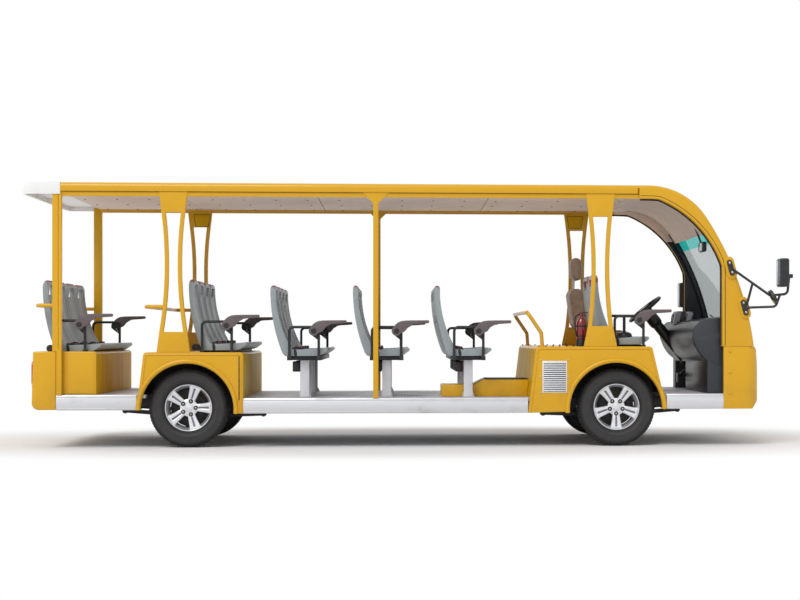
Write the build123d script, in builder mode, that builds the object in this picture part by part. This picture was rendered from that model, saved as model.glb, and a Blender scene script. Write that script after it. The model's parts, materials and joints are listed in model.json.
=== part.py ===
"""Open-sided electric sightseeing bus, facing +X, +Z up, millimetres.

Ladder chassis on two leaf-sprung axles, box bodies over the wheels, a canopy on posts and arched
pillars, rows of moulded seats with swing-up side guards, and a glazed cab front.
The origin is on the ground, midway between the visor's rear edge and the foremost mirror.
"""

import os
from math import atan2, cos, hypot, pi, radians, sin

from build123d import *

os.makedirs("parts", exist_ok=True)

# Stations along the bus, measured forward from the rear edge of the visor
rear_axle_station = 1422
wheelbase = 3784
mirror_reach = 1540  # front axle to the foremost point of the right mirror
front_axle_station = rear_axle_station + wheelbase
overall_length = front_axle_station + mirror_reach


def at(station):
    """Row-frame X of a station."""
    return station - overall_length / 2


rear_axle = at(rear_axle_station)
front_axle = at(front_axle_station)

# Widths, halves measured from the centre plane
body_width = 1970
panel_wall = 40  # thickness of the sills, fender sides and cowl
roof_overhang = 5
body_half = body_width / 2
deck_half = body_half - panel_wall
roof_half = body_half + roof_overhang
sides = (-1, 1)

# Gaps between pieces
seam = 0.3  # between curved or glazed pieces that seat on each other
running_gap = 0.05  # radial gap of a shaft in its bore
swing_gap = 5  # between a moving piece and the next one

# Heights above the ground
tyre_diameter = 694
mid_deck_top = 434
end_deck_top = 466
rear_box_top = 836
front_box_top = 886
tail_top = 844
roof_edge_top = 2318
deck_thickness = 30
sill_height = 134
roof_lip = 78  # depth of the roof's side lip
beam_drop = 106  # underside of the roof's beams below its edge
hub_height = tyre_diameter / 2
low_mid = mid_deck_top - sill_height
low_end = end_deck_top - sill_height
roof_lip_bottom = roof_edge_top - roof_lip
beam_bottom = roof_edge_top - beam_drop

# Tail, boxes and cowl along the bus
visor_length = 332
tail_rear_station = 84
tail_front_station = 295
bench_front_station = 633
tail_front = at(tail_front_station)
rear_box_rear = rear_axle - 436
rear_box_rear_lean = 60
rear_box_front = rear_axle + 485
front_box_rear = front_axle - 799
front_box_rear_lean = 71
front_box_front = front_axle + 435
front_box_front_lean = 131
cowl_rear = front_axle + 946
cowl_front = front_axle + 1269
box_wall = 40
corner_radius = 30

# Wheels and what turns with them
tyre_width = 195
wheel_inset = 80.5  # body side to the tyre's outer face
kingpin_inset = 117  # wheel's centre plane to the kingpin
well_inset = 287  # wheel's centre plane to the inner wall of its well
well_wall = 30
well_radius = 470
rail_inset = 377  # wheel's centre plane to the chassis rail
wheel_half = body_half - wheel_inset - tyre_width / 2
kingpin_half = wheel_half - kingpin_inset
well_inner_half = wheel_half - well_inset
cavity_half = well_inner_half - well_wall
rail_half = wheel_half - rail_inset

# Posts
post_depth = 40
post_inset = 2
post_outer = body_half - post_inset
post_inner = post_outer - post_depth
post_middle = (post_inner + post_outer) / 2

# Seat rows: every seat hangs on the guard pivot of its row
loop_inset = 100  # body side to the armrest loop
loop_half = body_half - loop_inset
loop_tube_radius = 12
seat_margin = 25  # outermost seat to the armrest loop
seat_gap = 15
seat_pitch = (loop_half - seat_margin) / 2
seat_width = seat_pitch - seat_gap
seat_length = 495
cushion_depth = 70
box_lead = 150  # cushion front ahead of the guard pivot on the rear boxes
floor_lead = 92  # the same in the other rows
pivot_above_cushion = 150
box_seat_rise = 86  # cushion top above a box
floor_seat_rise = 440  # cushion top above the floor
row_1_pivot = at(483)
row_2_pivot = rear_axle + 334
row_5_pivot = front_box_rear - 435
front_row_pivot = front_axle + 198
row_3_share = 0.344  # of the way from row 2 to row 5
row_3_pivot = row_2_pivot + row_3_share * (row_5_pivot - row_2_pivot)
row_4_pivot = (row_3_pivot + row_5_pivot) / 2

# Driver
driver_half = 450  # centre plane to the driver
column_angle = 51  # below the horizontal


def save(piece, name):
    """Labels a finished piece and writes its STEP file."""
    piece.label = name
    export_step(piece, f"parts/{name}.step")


# Chassis rails, arched over the axles
rail_width = 60
rail_depth = 100
rail_crest = 600
rail_crest_half = 220
rail_slope_half = 340
rail_lead = 60  # rail ends ahead of the cowl's rear edge
mid_rail_top = mid_deck_top - deck_thickness
end_rail_top = end_deck_top - deck_thickness
rail_profile = [  # X, height of the rail's top
    (tail_front, end_rail_top),
    (rear_axle - rail_slope_half, end_rail_top),
    (rear_axle - rail_crest_half, rail_crest),
    (rear_axle + rail_crest_half, rail_crest),
    (rear_axle + rail_slope_half, mid_rail_top),
    (front_axle - rail_slope_half, mid_rail_top),
    (front_axle - rail_crest_half, rail_crest),
    (front_axle + rail_crest_half, rail_crest),
    (front_axle + rail_slope_half, end_rail_top),
    (cowl_rear + rail_lead, end_rail_top),
]

with BuildPart() as chassis_rails:
    with BuildSketch(Plane.XZ.offset(rail_half - rail_width / 2)):
        with BuildLine():
            lower = [(x, z - rail_depth) for x, z in reversed(rail_profile)]
            Polyline(*rail_profile, *lower, close=True)
        make_face()
    extrude(amount=rail_width)
    mirror(about=Plane.XZ)
save(chassis_rails.part, "chassis_rails")

# Cross members between the rails, with outriggers to the sills
cross_size = 60
mid_cross_count = 4
mid_cross_margin = 120
mid_cross_rear = rear_box_front + mid_cross_margin
mid_cross_step = (front_box_rear - mid_cross_margin - mid_cross_rear) / (mid_cross_count - 1)
cross_table = [  # X, top
    (at(340), end_rail_top),
    (at(820), end_rail_top),
    *[(mid_cross_rear + i * mid_cross_step, mid_rail_top) for i in range(mid_cross_count)],
    (front_box_front + 80, end_rail_top),
    (cowl_rear - 60, end_rail_top),
]
inner_half = rail_half - rail_width / 2
outer_start = rail_half + rail_width / 2
outrigger = deck_half - outer_start

with BuildPart() as cross_members:
    for x, top in cross_table:
        with Locations((x, 0, top - cross_size / 2)):
            Box(cross_size, 2 * inner_half, cross_size)
        with Locations(*[(x, s * (outer_start + outrigger / 2), top - cross_size / 2) for s in sides]):
            Box(cross_size, outrigger, cross_size)
save(cross_members.part, "cross_members")

# Floor decks, with a tongue under the battery between the front wheel wells
mid_deck_front = front_box_rear + 110
tongue_front = front_axle - rail_slope_half - 16
dash_front = cowl_front - 179
deck_table = [  # rear X, front X, half width, top
    (tail_front, rear_box_rear + 70, deck_half, end_deck_top),
    (rear_box_front - box_wall, mid_deck_front, deck_half, mid_deck_top),
    (mid_deck_front, tongue_front, cavity_half, mid_deck_top),
    (front_box_front - 29, dash_front, deck_half, end_deck_top),
]

with BuildPart() as floor_deck:
    for rear, front, half, top in deck_table:
        with BuildSketch(Plane.XY.offset(top - deck_thickness)):
            with Locations(((rear + front) / 2, 0)):
                Rectangle(front - rear, 2 * half)
        extrude(amount=deck_thickness)
save(floor_deck.part, "floor_deck")

# Extruded aluminium sills, bowed outwards
sill_bow = 12
sill_table = [  # rear X, front X, top
    (tail_front, rear_box_rear, end_deck_top),
    (rear_box_front, front_box_rear, mid_deck_top),
    (front_box_front, cowl_rear, end_deck_top),
]

with BuildPart() as side_sills:
    for rear, front, top in sill_table:
        low = top - sill_height
        edge = sill_bow - body_half
        with BuildSketch(Plane.YZ.offset(rear)):
            with BuildLine():
                Polyline((edge, top), (-deck_half, top), (-deck_half, low), (edge, low))
                ThreePointArc((edge, low), (-body_half, (low + top) / 2), (edge, top))
            make_face()
        extrude(amount=front - rear)
    mirror(about=Plane.XZ)
save(side_sills.part, "side_sills")

# Tail: rounded end body and the bench box in front of it
tail_slope = 14  # the tail leans this much forward at its top
tail_corner = 60
tail_hollow = 160
tail_bottom = low_end + 4

with BuildPart() as tail_box:
    with BuildSketch(Plane.XZ):
        with BuildLine():
            Polyline(
                (tail_front, tail_bottom),
                (tail_front, tail_top),
                (at(tail_rear_station + tail_slope), tail_top),
                (at(tail_rear_station), tail_bottom),
                close=True,
            )
        face = make_face()
        fillet(face.vertices().sort_by(Axis.X)[0], tail_corner)
        fillet(face.vertices().group_by(Axis.Y)[-1].sort_by(Axis.X)[0], corner_radius)
    extrude(amount=body_half, both=True)
    with BuildSketch(Plane.XY.offset(tail_bottom + panel_wall)):
        with Locations((tail_front - tail_hollow / 2, 0)):
            Rectangle(tail_hollow, 2 * deck_half)
    extrude(amount=tail_top - tail_bottom - 2 * panel_wall, mode=Mode.SUBTRACT)
save(tail_box.part, "tail_box")

bench_half = post_inner - 8
bench_length = bench_front_station - tail_front_station
bench_middle = tail_front + bench_length / 2

with BuildPart() as bench_box:
    with BuildSketch(Plane.XY.offset(end_deck_top)):
        with Locations((bench_middle, 0)):
            Rectangle(bench_length, 2 * bench_half)
    extrude(amount=tail_top - end_deck_top)
    fillet(edges().group_by(Axis.Z)[-1].sort_by(Axis.X)[-1], corner_radius)
    with BuildSketch(Plane.XY.offset(end_deck_top)):
        with Locations((bench_middle, 0)):
            Rectangle(bench_length - 2 * box_wall, 2 * (bench_half - box_wall))
    extrude(amount=tail_top - end_deck_top - box_wall, mode=Mode.SUBTRACT)
save(bench_box.part, "bench_box")


# Wheel boxes: fender sides, sloped ends, a seat platform on top and a well over each wheel


def box_outline(rear, rear_lean, low_rear, front, front_lean, low_front, top, inset):
    """Side outline of a wheel box, drawn in by an inset on its ends and top."""
    crown = top - inset
    return [
        (rear + inset, low_rear),
        (rear + inset + (crown - low_rear) * rear_lean / (top - low_rear), crown),
        (front - inset - (crown - low_front) * front_lean / (top - low_front), crown),
        (front - inset, low_front),
    ]


liner_wall = 10  # sheet between a wheel well and the box's sloped end
arch_overlap = 1
deck_clearance = 50
rear_box_shape = (rear_box_rear, rear_box_rear_lean, low_end, rear_box_front, 0, low_mid, rear_box_top)
front_box_shape = (
    front_box_rear, front_box_rear_lean, low_mid, front_box_front, front_box_front_lean, low_end, front_box_top,
)
wheel_box_table = [  # name, outline, axle X, arch centre back, arch centre drop, arch radius, deck behind, ahead
    ("rear_wheel_box", rear_box_shape, rear_axle, 0, 12, 403, end_deck_top, mid_deck_top),
    ("front_wheel_box", front_box_shape, front_axle, 16, 17, 412, mid_deck_top, end_deck_top),
]

for name, shape, axle, arch_back, arch_drop, arch_radius, deck_behind, deck_ahead in wheel_box_table:
    box_rear = shape[0] - deck_clearance
    box_front = shape[3] + deck_clearance
    with BuildPart() as wheel_box:
        with BuildSketch(Plane.XZ):
            with BuildLine():
                Polyline(*box_outline(*shape, 0), close=True)
            outline = make_face()
            fillet(outline.vertices().group_by(Axis.Y)[-1], corner_radius)
        extrude(amount=body_half, both=True)
        # Everything between the fender sides stands on the decks
        for low, high, deck in ((box_rear, axle, deck_behind), (axle, box_front, deck_ahead)):
            with BuildSketch(Plane.XY):
                with Locations(((low + high) / 2, 0)):
                    Rectangle(high - low, 2 * deck_half)
            extrude(amount=deck, mode=Mode.SUBTRACT)
        # Hollow between the wells
        with BuildSketch(Plane.XZ):
            with BuildLine():
                Polyline(*box_outline(*shape, box_wall), close=True)
            make_face()
        extrude(amount=cavity_half, both=True, mode=Mode.SUBTRACT)
        # Wells and arch openings
        for side in sides:
            with BuildSketch(Plane.XZ.offset(side * well_inner_half)):
                with BuildLine():
                    Polyline(*box_outline(*shape, liner_wall), close=True)
                make_face()
                with Locations((axle, hub_height)):
                    Circle(well_radius, mode=Mode.INTERSECT)
            extrude(amount=side * (deck_half - well_inner_half), mode=Mode.SUBTRACT)
            with BuildSketch(Plane.XZ.offset(side * (deck_half - arch_overlap))):
                with Locations((axle - arch_back, hub_height - arch_drop)):
                    Circle(arch_radius)
            extrude(amount=side * (panel_wall + 2 * arch_overlap), mode=Mode.SUBTRACT)
    save(wheel_box.part, name)

# Cab front: lower cowl
cowl_top = front_box_top + 2
cowl_height = cowl_top - low_end
cowl_length = cowl_front - cowl_rear
cowl_corner = 120
cowl_edge = 40
cowl_outline = [  # X, Z
    (cowl_rear, low_end),
    (cowl_front - 63, low_end),
    (cowl_front, low_end + 0.15 * cowl_height),
    (cowl_front - 6, low_end + 0.665 * cowl_height),
    (cowl_front - 27, cowl_top),
    (cowl_rear, cowl_top),
]

with BuildPart() as front_cowl:
    with BuildSketch(Plane.XZ):
        with BuildLine():
            Polyline(*cowl_outline, close=True)
        outline = make_face()
        fillet(outline.vertices().sort_by(Axis.X)[-3:], cowl_edge)
    extrude(amount=body_half, both=True)
    with BuildSketch(Plane.XY) as cowl_plan:
        with Locations((cowl_rear + cowl_length / 2, 0)):
            Rectangle(cowl_length, body_width)
        fillet(cowl_plan.vertices().group_by(Axis.X)[-1], cowl_corner)
    extrude(amount=2 * cowl_top, mode=Mode.INTERSECT)
    with BuildSketch(Plane.XY) as hollow:
        with Locations((cowl_rear + cowl_length / 2 - 1.75 * panel_wall, 0)):
            Rectangle(cowl_length + panel_wall / 2, 2 * deck_half)
        fillet(hollow.vertices().group_by(Axis.X)[-1], cowl_corner - panel_wall)
    extrude(amount=2 * cowl_top, mode=Mode.SUBTRACT)
save(front_cowl.part, "front_cowl")

# Curved screen frame: the nose's outer side curve runs from the roof over a bend to the cowl
nose_run = 520
nose_drop = 279
nose_start_x = front_axle + 274
nose_foot = (front_axle + 1222, cowl_top)
nose_radius = (nose_run**2 + nose_drop**2) / (2 * nose_drop)
nose_angle = atan2(nose_run, nose_radius - nose_drop)
nose_centre = (nose_start_x, roof_edge_top - nose_radius)
roof_joint = front_axle + 190
pillar_rear = front_axle + 932
pillar_header = front_axle + 354  # where the pillar's rear edge meets the door header
pillar_thickness = 90
header_drop = 122  # door header below the roof's edge
shoulder_drop = 718  # top of the pillar's upright rear edge below the roof's edge
bow_back = 233  # middle of the pillar's bow behind its upright edge
bow_drop = 346  # the same point below the roof's edge
nose_edge = 36
skin = 30
screen_inset = 20
screen_half = roof_half - pillar_thickness - screen_inset
screen_bottom = cowl_top + 197
screen_top = roof_edge_top - 333
screen_corner = 70
screen_thickness = 6
screen_set = 8  # depth of the glass below the outer skin
screen_back = front_axle + 640
screen_depth = 700


def nose_point(angle, depth):
    """Point of the nose's roof arc at an angle from its top, moved in by a depth."""
    radius = nose_radius - depth
    return nose_centre[0] + radius * sin(angle), nose_centre[1] + radius * cos(angle)


def nose_edges(depth, rear):
    """The nose's side curve moved in by a depth, drawn from a rear X, with its two ends."""
    first = (rear, roof_edge_top - depth)
    start = nose_point(0, depth)
    bend = nose_point(nose_angle, depth)
    foot = (nose_foot[0] - depth, nose_foot[1])
    Line(first, start)
    ThreePointArc(start, nose_point(nose_angle / 2, depth), bend)
    TangentArc(bend, foot, tangent=(cos(nose_angle), -sin(nose_angle)))
    return first, foot


def nose_band(outer, inner, rear):
    """Edges of the closed band between two depths of the nose curve."""
    with BuildLine() as band:
        outer_first, outer_foot = nose_edges(outer, rear)
        inner_first, inner_foot = nose_edges(inner, rear)
        Line(outer_first, inner_first)
        Line(outer_foot, inner_foot)
    return band.edges()


with BuildPart() as screen_frame:
    with BuildSketch(Plane.XZ):
        make_face(nose_band(0, skin, roof_joint))
    extrude(amount=roof_half, both=True)
    with BuildSketch(Plane.XZ.offset(roof_half - pillar_thickness)):
        with BuildLine():
            first, foot = nose_edges(0, roof_joint)
            shoulder = (pillar_rear, roof_edge_top - shoulder_drop)
            bow = (pillar_rear - bow_back, roof_edge_top - bow_drop)
            header = (pillar_header, roof_edge_top - header_drop)
            Polyline(foot, (pillar_rear, cowl_top), shoulder)
            ThreePointArc(shoulder, bow, header)
            Polyline(header, (roof_joint, roof_edge_top - header_drop), first)
        make_face()
    extrude(amount=pillar_thickness)
    mirror(about=Plane.XZ)
    front_height = (screen_bottom + screen_top) / 2
    rounded = [
        e for e in edges()
        if abs(abs(e.center().Y) - roof_half) < 1 and e.length > nose_start_x - roof_joint - 1
        and e.center().X > (roof_joint + nose_start_x) / 2 - 1
        and (e.center().Z > roof_edge_top - header_drop or e.center().X > pillar_rear + nose_edge)
        and abs(e.center().Z - cowl_top) > nose_edge
    ]
    fillet(rounded, nose_edge)
    with BuildSketch(Plane.YZ.offset(screen_back)):
        with Locations((0, front_height)):
            RectangleRounded(2 * screen_half, screen_top - screen_bottom, screen_corner)
    extrude(amount=screen_depth, mode=Mode.SUBTRACT)
save(screen_frame.part, "screen_frame")

with BuildPart() as windscreen:
    with BuildSketch(Plane.XZ):
        make_face(nose_band(screen_set, screen_set + screen_thickness, roof_joint))
    extrude(amount=screen_half, both=True)
    with BuildSketch(Plane.YZ.offset(screen_back)):
        with Locations((0, front_height)):
            RectangleRounded(
                2 * (screen_half - seam), screen_top - screen_bottom - 2 * seam, screen_corner - seam
            )
    extrude(amount=screen_depth, mode=Mode.INTERSECT)
save(windscreen.part, "windscreen")

# Canopy: roof tray, side beams, rear visor and ceiling panels
roof_rear = at(visor_length)
roof_length = roof_joint - roof_rear
roof_shell = 30
roof_corner = 40
roof_crown = 10
arc_share = cos(radians(45))

with BuildPart() as roof_panel:
    with BuildSketch(Plane.YZ.offset(roof_rear)):
        with BuildLine():
            bend_z = roof_edge_top - roof_corner
            flat_half = roof_half - roof_corner
            arc_half = flat_half + roof_corner * arc_share
            arc_z = bend_z + roof_corner * arc_share
            Line((-roof_half, roof_lip_bottom), (-roof_half, bend_z))
            ThreePointArc((-roof_half, bend_z), (-arc_half, arc_z), (-flat_half, roof_edge_top))
            ThreePointArc(
                (-flat_half, roof_edge_top), (0, roof_edge_top + roof_crown), (flat_half, roof_edge_top)
            )
            ThreePointArc((flat_half, roof_edge_top), (arc_half, arc_z), (roof_half, bend_z))
            Polyline((roof_half, bend_z), (roof_half, roof_lip_bottom), (-roof_half, roof_lip_bottom))
        make_face()
        with Locations((0, (roof_lip_bottom + roof_edge_top - roof_shell) / 2)):
            Rectangle(2 * post_inner, roof_lip - roof_shell, mode=Mode.SUBTRACT)
    extrude(amount=roof_length)
save(roof_panel.part, "roof_panel")

beam_width = 51
beam_outer = post_inner - 2

with BuildPart() as roof_beams:
    with BuildSketch(Plane.XY.offset(beam_bottom)):
        with Locations(*[(roof_rear + roof_length / 2, s * (beam_outer - beam_width / 2)) for s in sides]):
            Rectangle(roof_length, beam_width)
    extrude(amount=beam_drop - roof_shell)
save(roof_beams.part, "roof_beams")

visor_shell = 25
visor_corner = 90
visor_rise = 4
visor_top = roof_edge_top + visor_rise
visor_slope_run = 60
visor_slope_drop = 34

with BuildPart() as rear_visor:
    with BuildSketch(Plane.XZ):
        with BuildLine():
            Polyline(
                (at(0), beam_bottom),
                (at(0), visor_top - visor_slope_drop),
                (at(visor_slope_run), visor_top),
                (roof_rear, visor_top),
                (roof_rear, beam_bottom),
                close=True,
            )
        make_face()
    extrude(amount=roof_half, both=True)
    with BuildSketch(Plane.XY) as visor_plan:
        with Locations((at(visor_length / 2), 0)):
            Rectangle(visor_length, 2 * roof_half)
        fillet(visor_plan.vertices().group_by(Axis.X)[0], visor_corner)
    extrude(amount=2 * visor_top, mode=Mode.INTERSECT)
    with BuildSketch(Plane.XY.offset(beam_bottom)) as visor_hollow:
        with Locations((at(visor_length / 2) + visor_shell, 0)):
            Rectangle(visor_length, 2 * (post_outer + 1))
        fillet(visor_hollow.vertices().group_by(Axis.X)[0], visor_corner - visor_shell)
    extrude(amount=visor_top - 2 * visor_shell - visor_slope_drop / 2 - beam_bottom, mode=Mode.SUBTRACT)
save(rear_visor.part, "rear_visor")

ceiling_half = beam_outer - beam_width
ceiling_rise = 14  # ceiling above the underside of the beams
ceiling_sheet = 10
ceiling_seam = 6
ceiling_shares = (0, 0.197, 0.436, 0.740, 1)  # joints along the roof
ceiling_joints = [roof_rear + share * roof_length for share in ceiling_shares]

with BuildPart() as ceiling_panels:
    for rear, front in zip(ceiling_joints, ceiling_joints[1:]):
        with BuildSketch(Plane.XY.offset(beam_bottom + ceiling_rise)):
            with Locations(((rear + front) / 2, 0)):
                Rectangle(front - rear - ceiling_seam, 2 * ceiling_half)
        extrude(amount=ceiling_sheet)
save(ceiling_panels.part, "ceiling_panels")

# Straight posts at the tail and in the middle
rear_post_rear = at(263)
rear_post_main = 50
rear_post_groove = 5
rear_post_strip = 25
rear_post_front = rear_post_rear + rear_post_main + rear_post_groove + rear_post_strip
groove_depth = 8
groove_foot = 20
centre_post = at(3064)
centre_post_half = 22.5
gusset_leg = 95
post_foot_gap = 2

with BuildPart() as posts:
    with BuildSketch(Plane.XZ.offset(post_inner)):
        with BuildLine():
            Polyline(
                (rear_post_rear, tail_top),
                (rear_post_rear, roof_lip_bottom),
                (rear_post_front, roof_lip_bottom),
                (rear_post_front, end_deck_top),
                (tail_front + post_foot_gap, end_deck_top),
                (tail_front + post_foot_gap, tail_top),
                close=True,
            )
        make_face()
        with BuildLine():
            Polyline(
                (centre_post - centre_post_half, mid_deck_top),
                (centre_post - centre_post_half, roof_lip_bottom - gusset_leg),
                (centre_post - centre_post_half - gusset_leg, roof_lip_bottom),
                (centre_post + centre_post_half + gusset_leg, roof_lip_bottom),
                (centre_post + centre_post_half, roof_lip_bottom - gusset_leg),
                (centre_post + centre_post_half, mid_deck_top),
                close=True,
            )
        make_face()
    extrude(amount=post_depth)
    groove_height = roof_lip_bottom - tail_top - groove_foot
    with BuildSketch(Plane.XZ.offset(post_outer - groove_depth)):
        with Locations(
            (rear_post_rear + rear_post_main + rear_post_groove / 2, roof_lip_bottom - groove_height / 2)
        ):
            Rectangle(rear_post_groove, groove_height)
    extrude(amount=2 * groove_depth, mode=Mode.SUBTRACT)
    mirror(about=Plane.XZ)
save(posts.part, "posts")

# Arched pillars: a foot plate, two bowed tubes and a head plate
pillar_tube = 36
rear_pillar = rear_axle - 119
front_pillar = front_axle - 156
arched_table = [  # centre X, foot Z, half widths at foot, knee, waist, shoulder, head, shares of rise for the middle three
    (rear_pillar, rear_box_top, (145, 121, 74, 102, 123), (0.1275, 0.5363, 0.8697)),
    (front_pillar, front_box_top, (148, 111, 79, 103, 129), (0.1337, 0.5783, 0.8486)),
]

with BuildPart() as arched_pillars:
    for x, foot_z, halves, shares in arched_table:
        foot_half, knee_half, waist_half, shoulder_half, head_half = halves
        knee_z, waist_z, shoulder_z = [foot_z + share * (roof_lip_bottom - foot_z) for share in shares]
        with BuildSketch(Plane.XZ.offset(post_inner)):
            for s in sides:
                with BuildLine():
                    outer = [
                        (x + s * knee_half, knee_z), (x + s * waist_half, waist_z), (x + s * shoulder_half, shoulder_z)
                    ]
                    inner = [(px - s * pillar_tube, pz) for px, pz in outer]
                    ThreePointArc(*outer)
                    ThreePointArc(*inner)
                    Line(outer[0], inner[0])
                    Line(outer[2], inner[2])
                make_face()
            with BuildLine():
                Polyline(
                    (x - foot_half, foot_z), (x + foot_half, foot_z),
                    (x + knee_half, knee_z), (x - knee_half, knee_z), close=True,
                )
            make_face()
            with BuildLine():
                Polyline(
                    (x - shoulder_half, shoulder_z), (x + shoulder_half, shoulder_z),
                    (x + head_half, roof_lip_bottom), (x - head_half, roof_lip_bottom), close=True,
                )
            make_face()
        extrude(amount=post_depth)
    mirror(about=Plane.XZ)
save(arched_pillars.part, "arched_pillars")

# Handrails behind the box rows and across the front box
rail_tube = 14
rail_bend = 70
grab_table = [  # height, X of its ends inside the posts, reach behind them
    (tail_top + 401, rear_post_rear + 15, 155),
    (rear_box_top + 399, rear_pillar - 80, 163),
]
bar_inset = 185
bar_half = body_half - bar_inset
bar_x = front_box_rear + front_box_rear_lean + 70
bar_bend = 50
bar_knee_back = 9
bar_knee_rise = 120
bar_top_back = 134
bar_top_rise = 305
bar_flange = 28
bar_flange_height = 6

with BuildPart() as grab_rails:
    for height, end_x, reach in grab_table:
        with BuildLine() as path:
            FilletPolyline(
                (end_x, -post_middle, height),
                (end_x - reach, -post_middle, height),
                (end_x - reach, post_middle, height),
                (end_x, post_middle, height),
                radius=rail_bend,
            )
        with BuildSketch(Plane(origin=path.line @ 0, z_dir=path.line % 0)):
            Circle(rail_tube)
        sweep(path=path.line)
    add(posts.part, mode=Mode.SUBTRACT)
    add(arched_pillars.part, mode=Mode.SUBTRACT)
    with BuildLine() as path:
        FilletPolyline(
            (bar_x, -bar_half, front_box_top),
            (bar_x - bar_knee_back, -bar_half, front_box_top + bar_knee_rise),
            (bar_x - bar_top_back, -bar_half, front_box_top + bar_top_rise),
            (bar_x - bar_top_back, bar_half, front_box_top + bar_top_rise),
            (bar_x - bar_knee_back, bar_half, front_box_top + bar_knee_rise),
            (bar_x, bar_half, front_box_top),
            radius=bar_bend,
        )
    with BuildSketch(Plane(origin=path.line @ 0, z_dir=path.line % 0)):
        Circle(rail_tube)
    sweep(path=path.line)
    with BuildSketch(Plane.XY.offset(front_box_top)):
        with Locations((bar_x, -bar_half), (bar_x, bar_half)):
            Circle(bar_flange)
    extrude(amount=bar_flange_height)
    with BuildSketch(Plane.XY.offset(front_box_top)):
        with Locations((bar_x, -bar_half), (bar_x, bar_half)):
            Circle(2 * bar_flange)
    extrude(amount=-2 * bar_flange, mode=Mode.SUBTRACT)
save(grab_rails.part, "grab_rails")

# Stepped cover on the floor behind the front box, between two rows of pedestals
pedestal_inner = 140
pedestal_outer = loop_half - 135
cover_low = mid_deck_top + 108
cover_high = mid_deck_top + 156
box_rear_lean = front_box_rear_lean / (front_box_top - low_mid)
cover_outline = [  # X, Z
    (front_box_rear - 757, mid_deck_top),
    (front_box_rear - 757, cover_low),
    (front_box_rear - 470, cover_low),
    (front_box_rear - 372, cover_high),
    (front_box_rear + (cover_high - low_mid) * box_rear_lean, cover_high),
    (front_box_rear + (mid_deck_top - low_mid) * box_rear_lean, mid_deck_top),
]
cover_far = pedestal_inner + 115
cover_near = pedestal_outer - 95

with BuildPart() as floor_cover:
    with BuildSketch(Plane.XZ.offset(cover_far)):
        with BuildLine():
            Polyline(*cover_outline, close=True)
        make_face()
    extrude(amount=cover_near - cover_far)
save(floor_cover.part, "floor_cover")

# Louvred vents on the front fenders
vent_x = front_box_rear + 235
vent_z = front_box_top - 267
vent_width = 218
vent_height = 280
vent_corner = 12
vent_border = 22
vent_proud = 8
vent_floor = 3
louvre_count = 13
louvre_share = 0.55  # open part of each louvre's pitch
louvre_step = (vent_height - 2 * vent_border) / louvre_count

with BuildPart() as vent_grilles:
    with BuildSketch(Plane.XZ.offset(body_half)):
        with Locations((vent_x, vent_z)):
            RectangleRounded(vent_width, vent_height, vent_corner)
    extrude(amount=vent_proud)
    with BuildSketch(Plane.XZ.offset(body_half + vent_floor)):
        with Locations((vent_x, vent_z)):
            with GridLocations(0, louvre_step, 1, louvre_count):
                Rectangle(vent_width - 2 * vent_border, louvre_step * louvre_share)
    extrude(amount=vent_proud, mode=Mode.SUBTRACT)
    mirror(about=Plane.XZ)
save(vent_grilles.part, "vent_grilles")

# Dashboard with a foot well
dash_half = roof_half - pillar_thickness - 2
dash_kick = front_axle + 815
dash_points = [  # X from the kick panel, height above the deck
    (0, 294), (-88, 390), (-128, 500), (-121, 584), (-61, 644),
]
dash_nose_rise = 694
foot_well_depth = 165
foot_well_width = 580
foot_well_height = 270
foot_well_half = driver_half + 20

with BuildPart() as dashboard:
    with BuildSketch(Plane.XZ):
        with BuildLine():
            kick, bulge, belly, brow, crest = [(dash_kick + x, end_deck_top + z) for x, z in dash_points]
            ThreePointArc(kick, bulge, belly)
            Polyline(
                belly,
                brow,
                crest,
                (dash_front, end_deck_top + dash_nose_rise),
                (dash_front, end_deck_top),
                (dash_kick, end_deck_top),
                kick,
            )
        make_face()
    extrude(amount=dash_half, both=True)
    with BuildSketch(Plane.XY.offset(end_deck_top)):
        with Locations((dash_kick, foot_well_half)):
            Rectangle(2 * foot_well_depth, foot_well_width)
    extrude(amount=foot_well_height, mode=Mode.SUBTRACT)
save(dashboard.part, "dashboard")

# Steering wheel on its shaft, column with stalks, pedals and the lever between the front seats
steering_radius = 195
steering_grip = 15
steering_hub = 58
hub_front = 20  # hub ahead of the rim's plane, towards the driver
hub_depth = 40
spoke_width = 34
spoke_thickness = 10
column_radius = 50
shaft_radius = 14
shaft_start = 8
column_tail = 90
stalk_length = 140
stalk_width = 12
stalk_thickness = 14
stalk_back = 40
stalk_rise = 20
column_way = Vector(cos(radians(column_angle)), 0, -sin(radians(column_angle)))
wheel_centre = Vector(front_axle + 460, driver_half, front_box_top + 353)
wheel_plane = Plane(origin=wheel_centre, x_dir=(0, 1, 0), z_dir=column_way)
grip_half = steering_radius - steering_grip

with BuildPart() as steering_wheel:
    with BuildSketch(Plane(origin=wheel_centre, x_dir=(0, 1, 0), z_dir=wheel_plane.y_dir)):
        with Locations((grip_half, 0)):
            Circle(steering_grip)
    revolve(axis=Axis(wheel_centre, column_way))
    with BuildSketch(wheel_plane.offset(-hub_front)):
        Circle(steering_hub)
    extrude(amount=hub_front + hub_depth)
    for angle in (0, 180, 270):
        with BuildSketch(wheel_plane.offset(-spoke_thickness / 2)):
            with Locations(Location((0, 0, 0), (0, 0, angle))):
                with Locations((grip_half / 2, 0)):
                    Rectangle(grip_half, spoke_width)
        extrude(amount=spoke_thickness)
    with BuildSketch(wheel_plane.offset(shaft_start)):
        Circle(shaft_radius + running_gap)
    extrude(amount=hub_depth, mode=Mode.SUBTRACT)
save(steering_wheel.part, "steering_wheel")

column_start = hub_depth + swing_gap + 1
column_reach = (dash_points[2][0] + dash_kick - wheel_centre.X) / cos(radians(column_angle))

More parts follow.
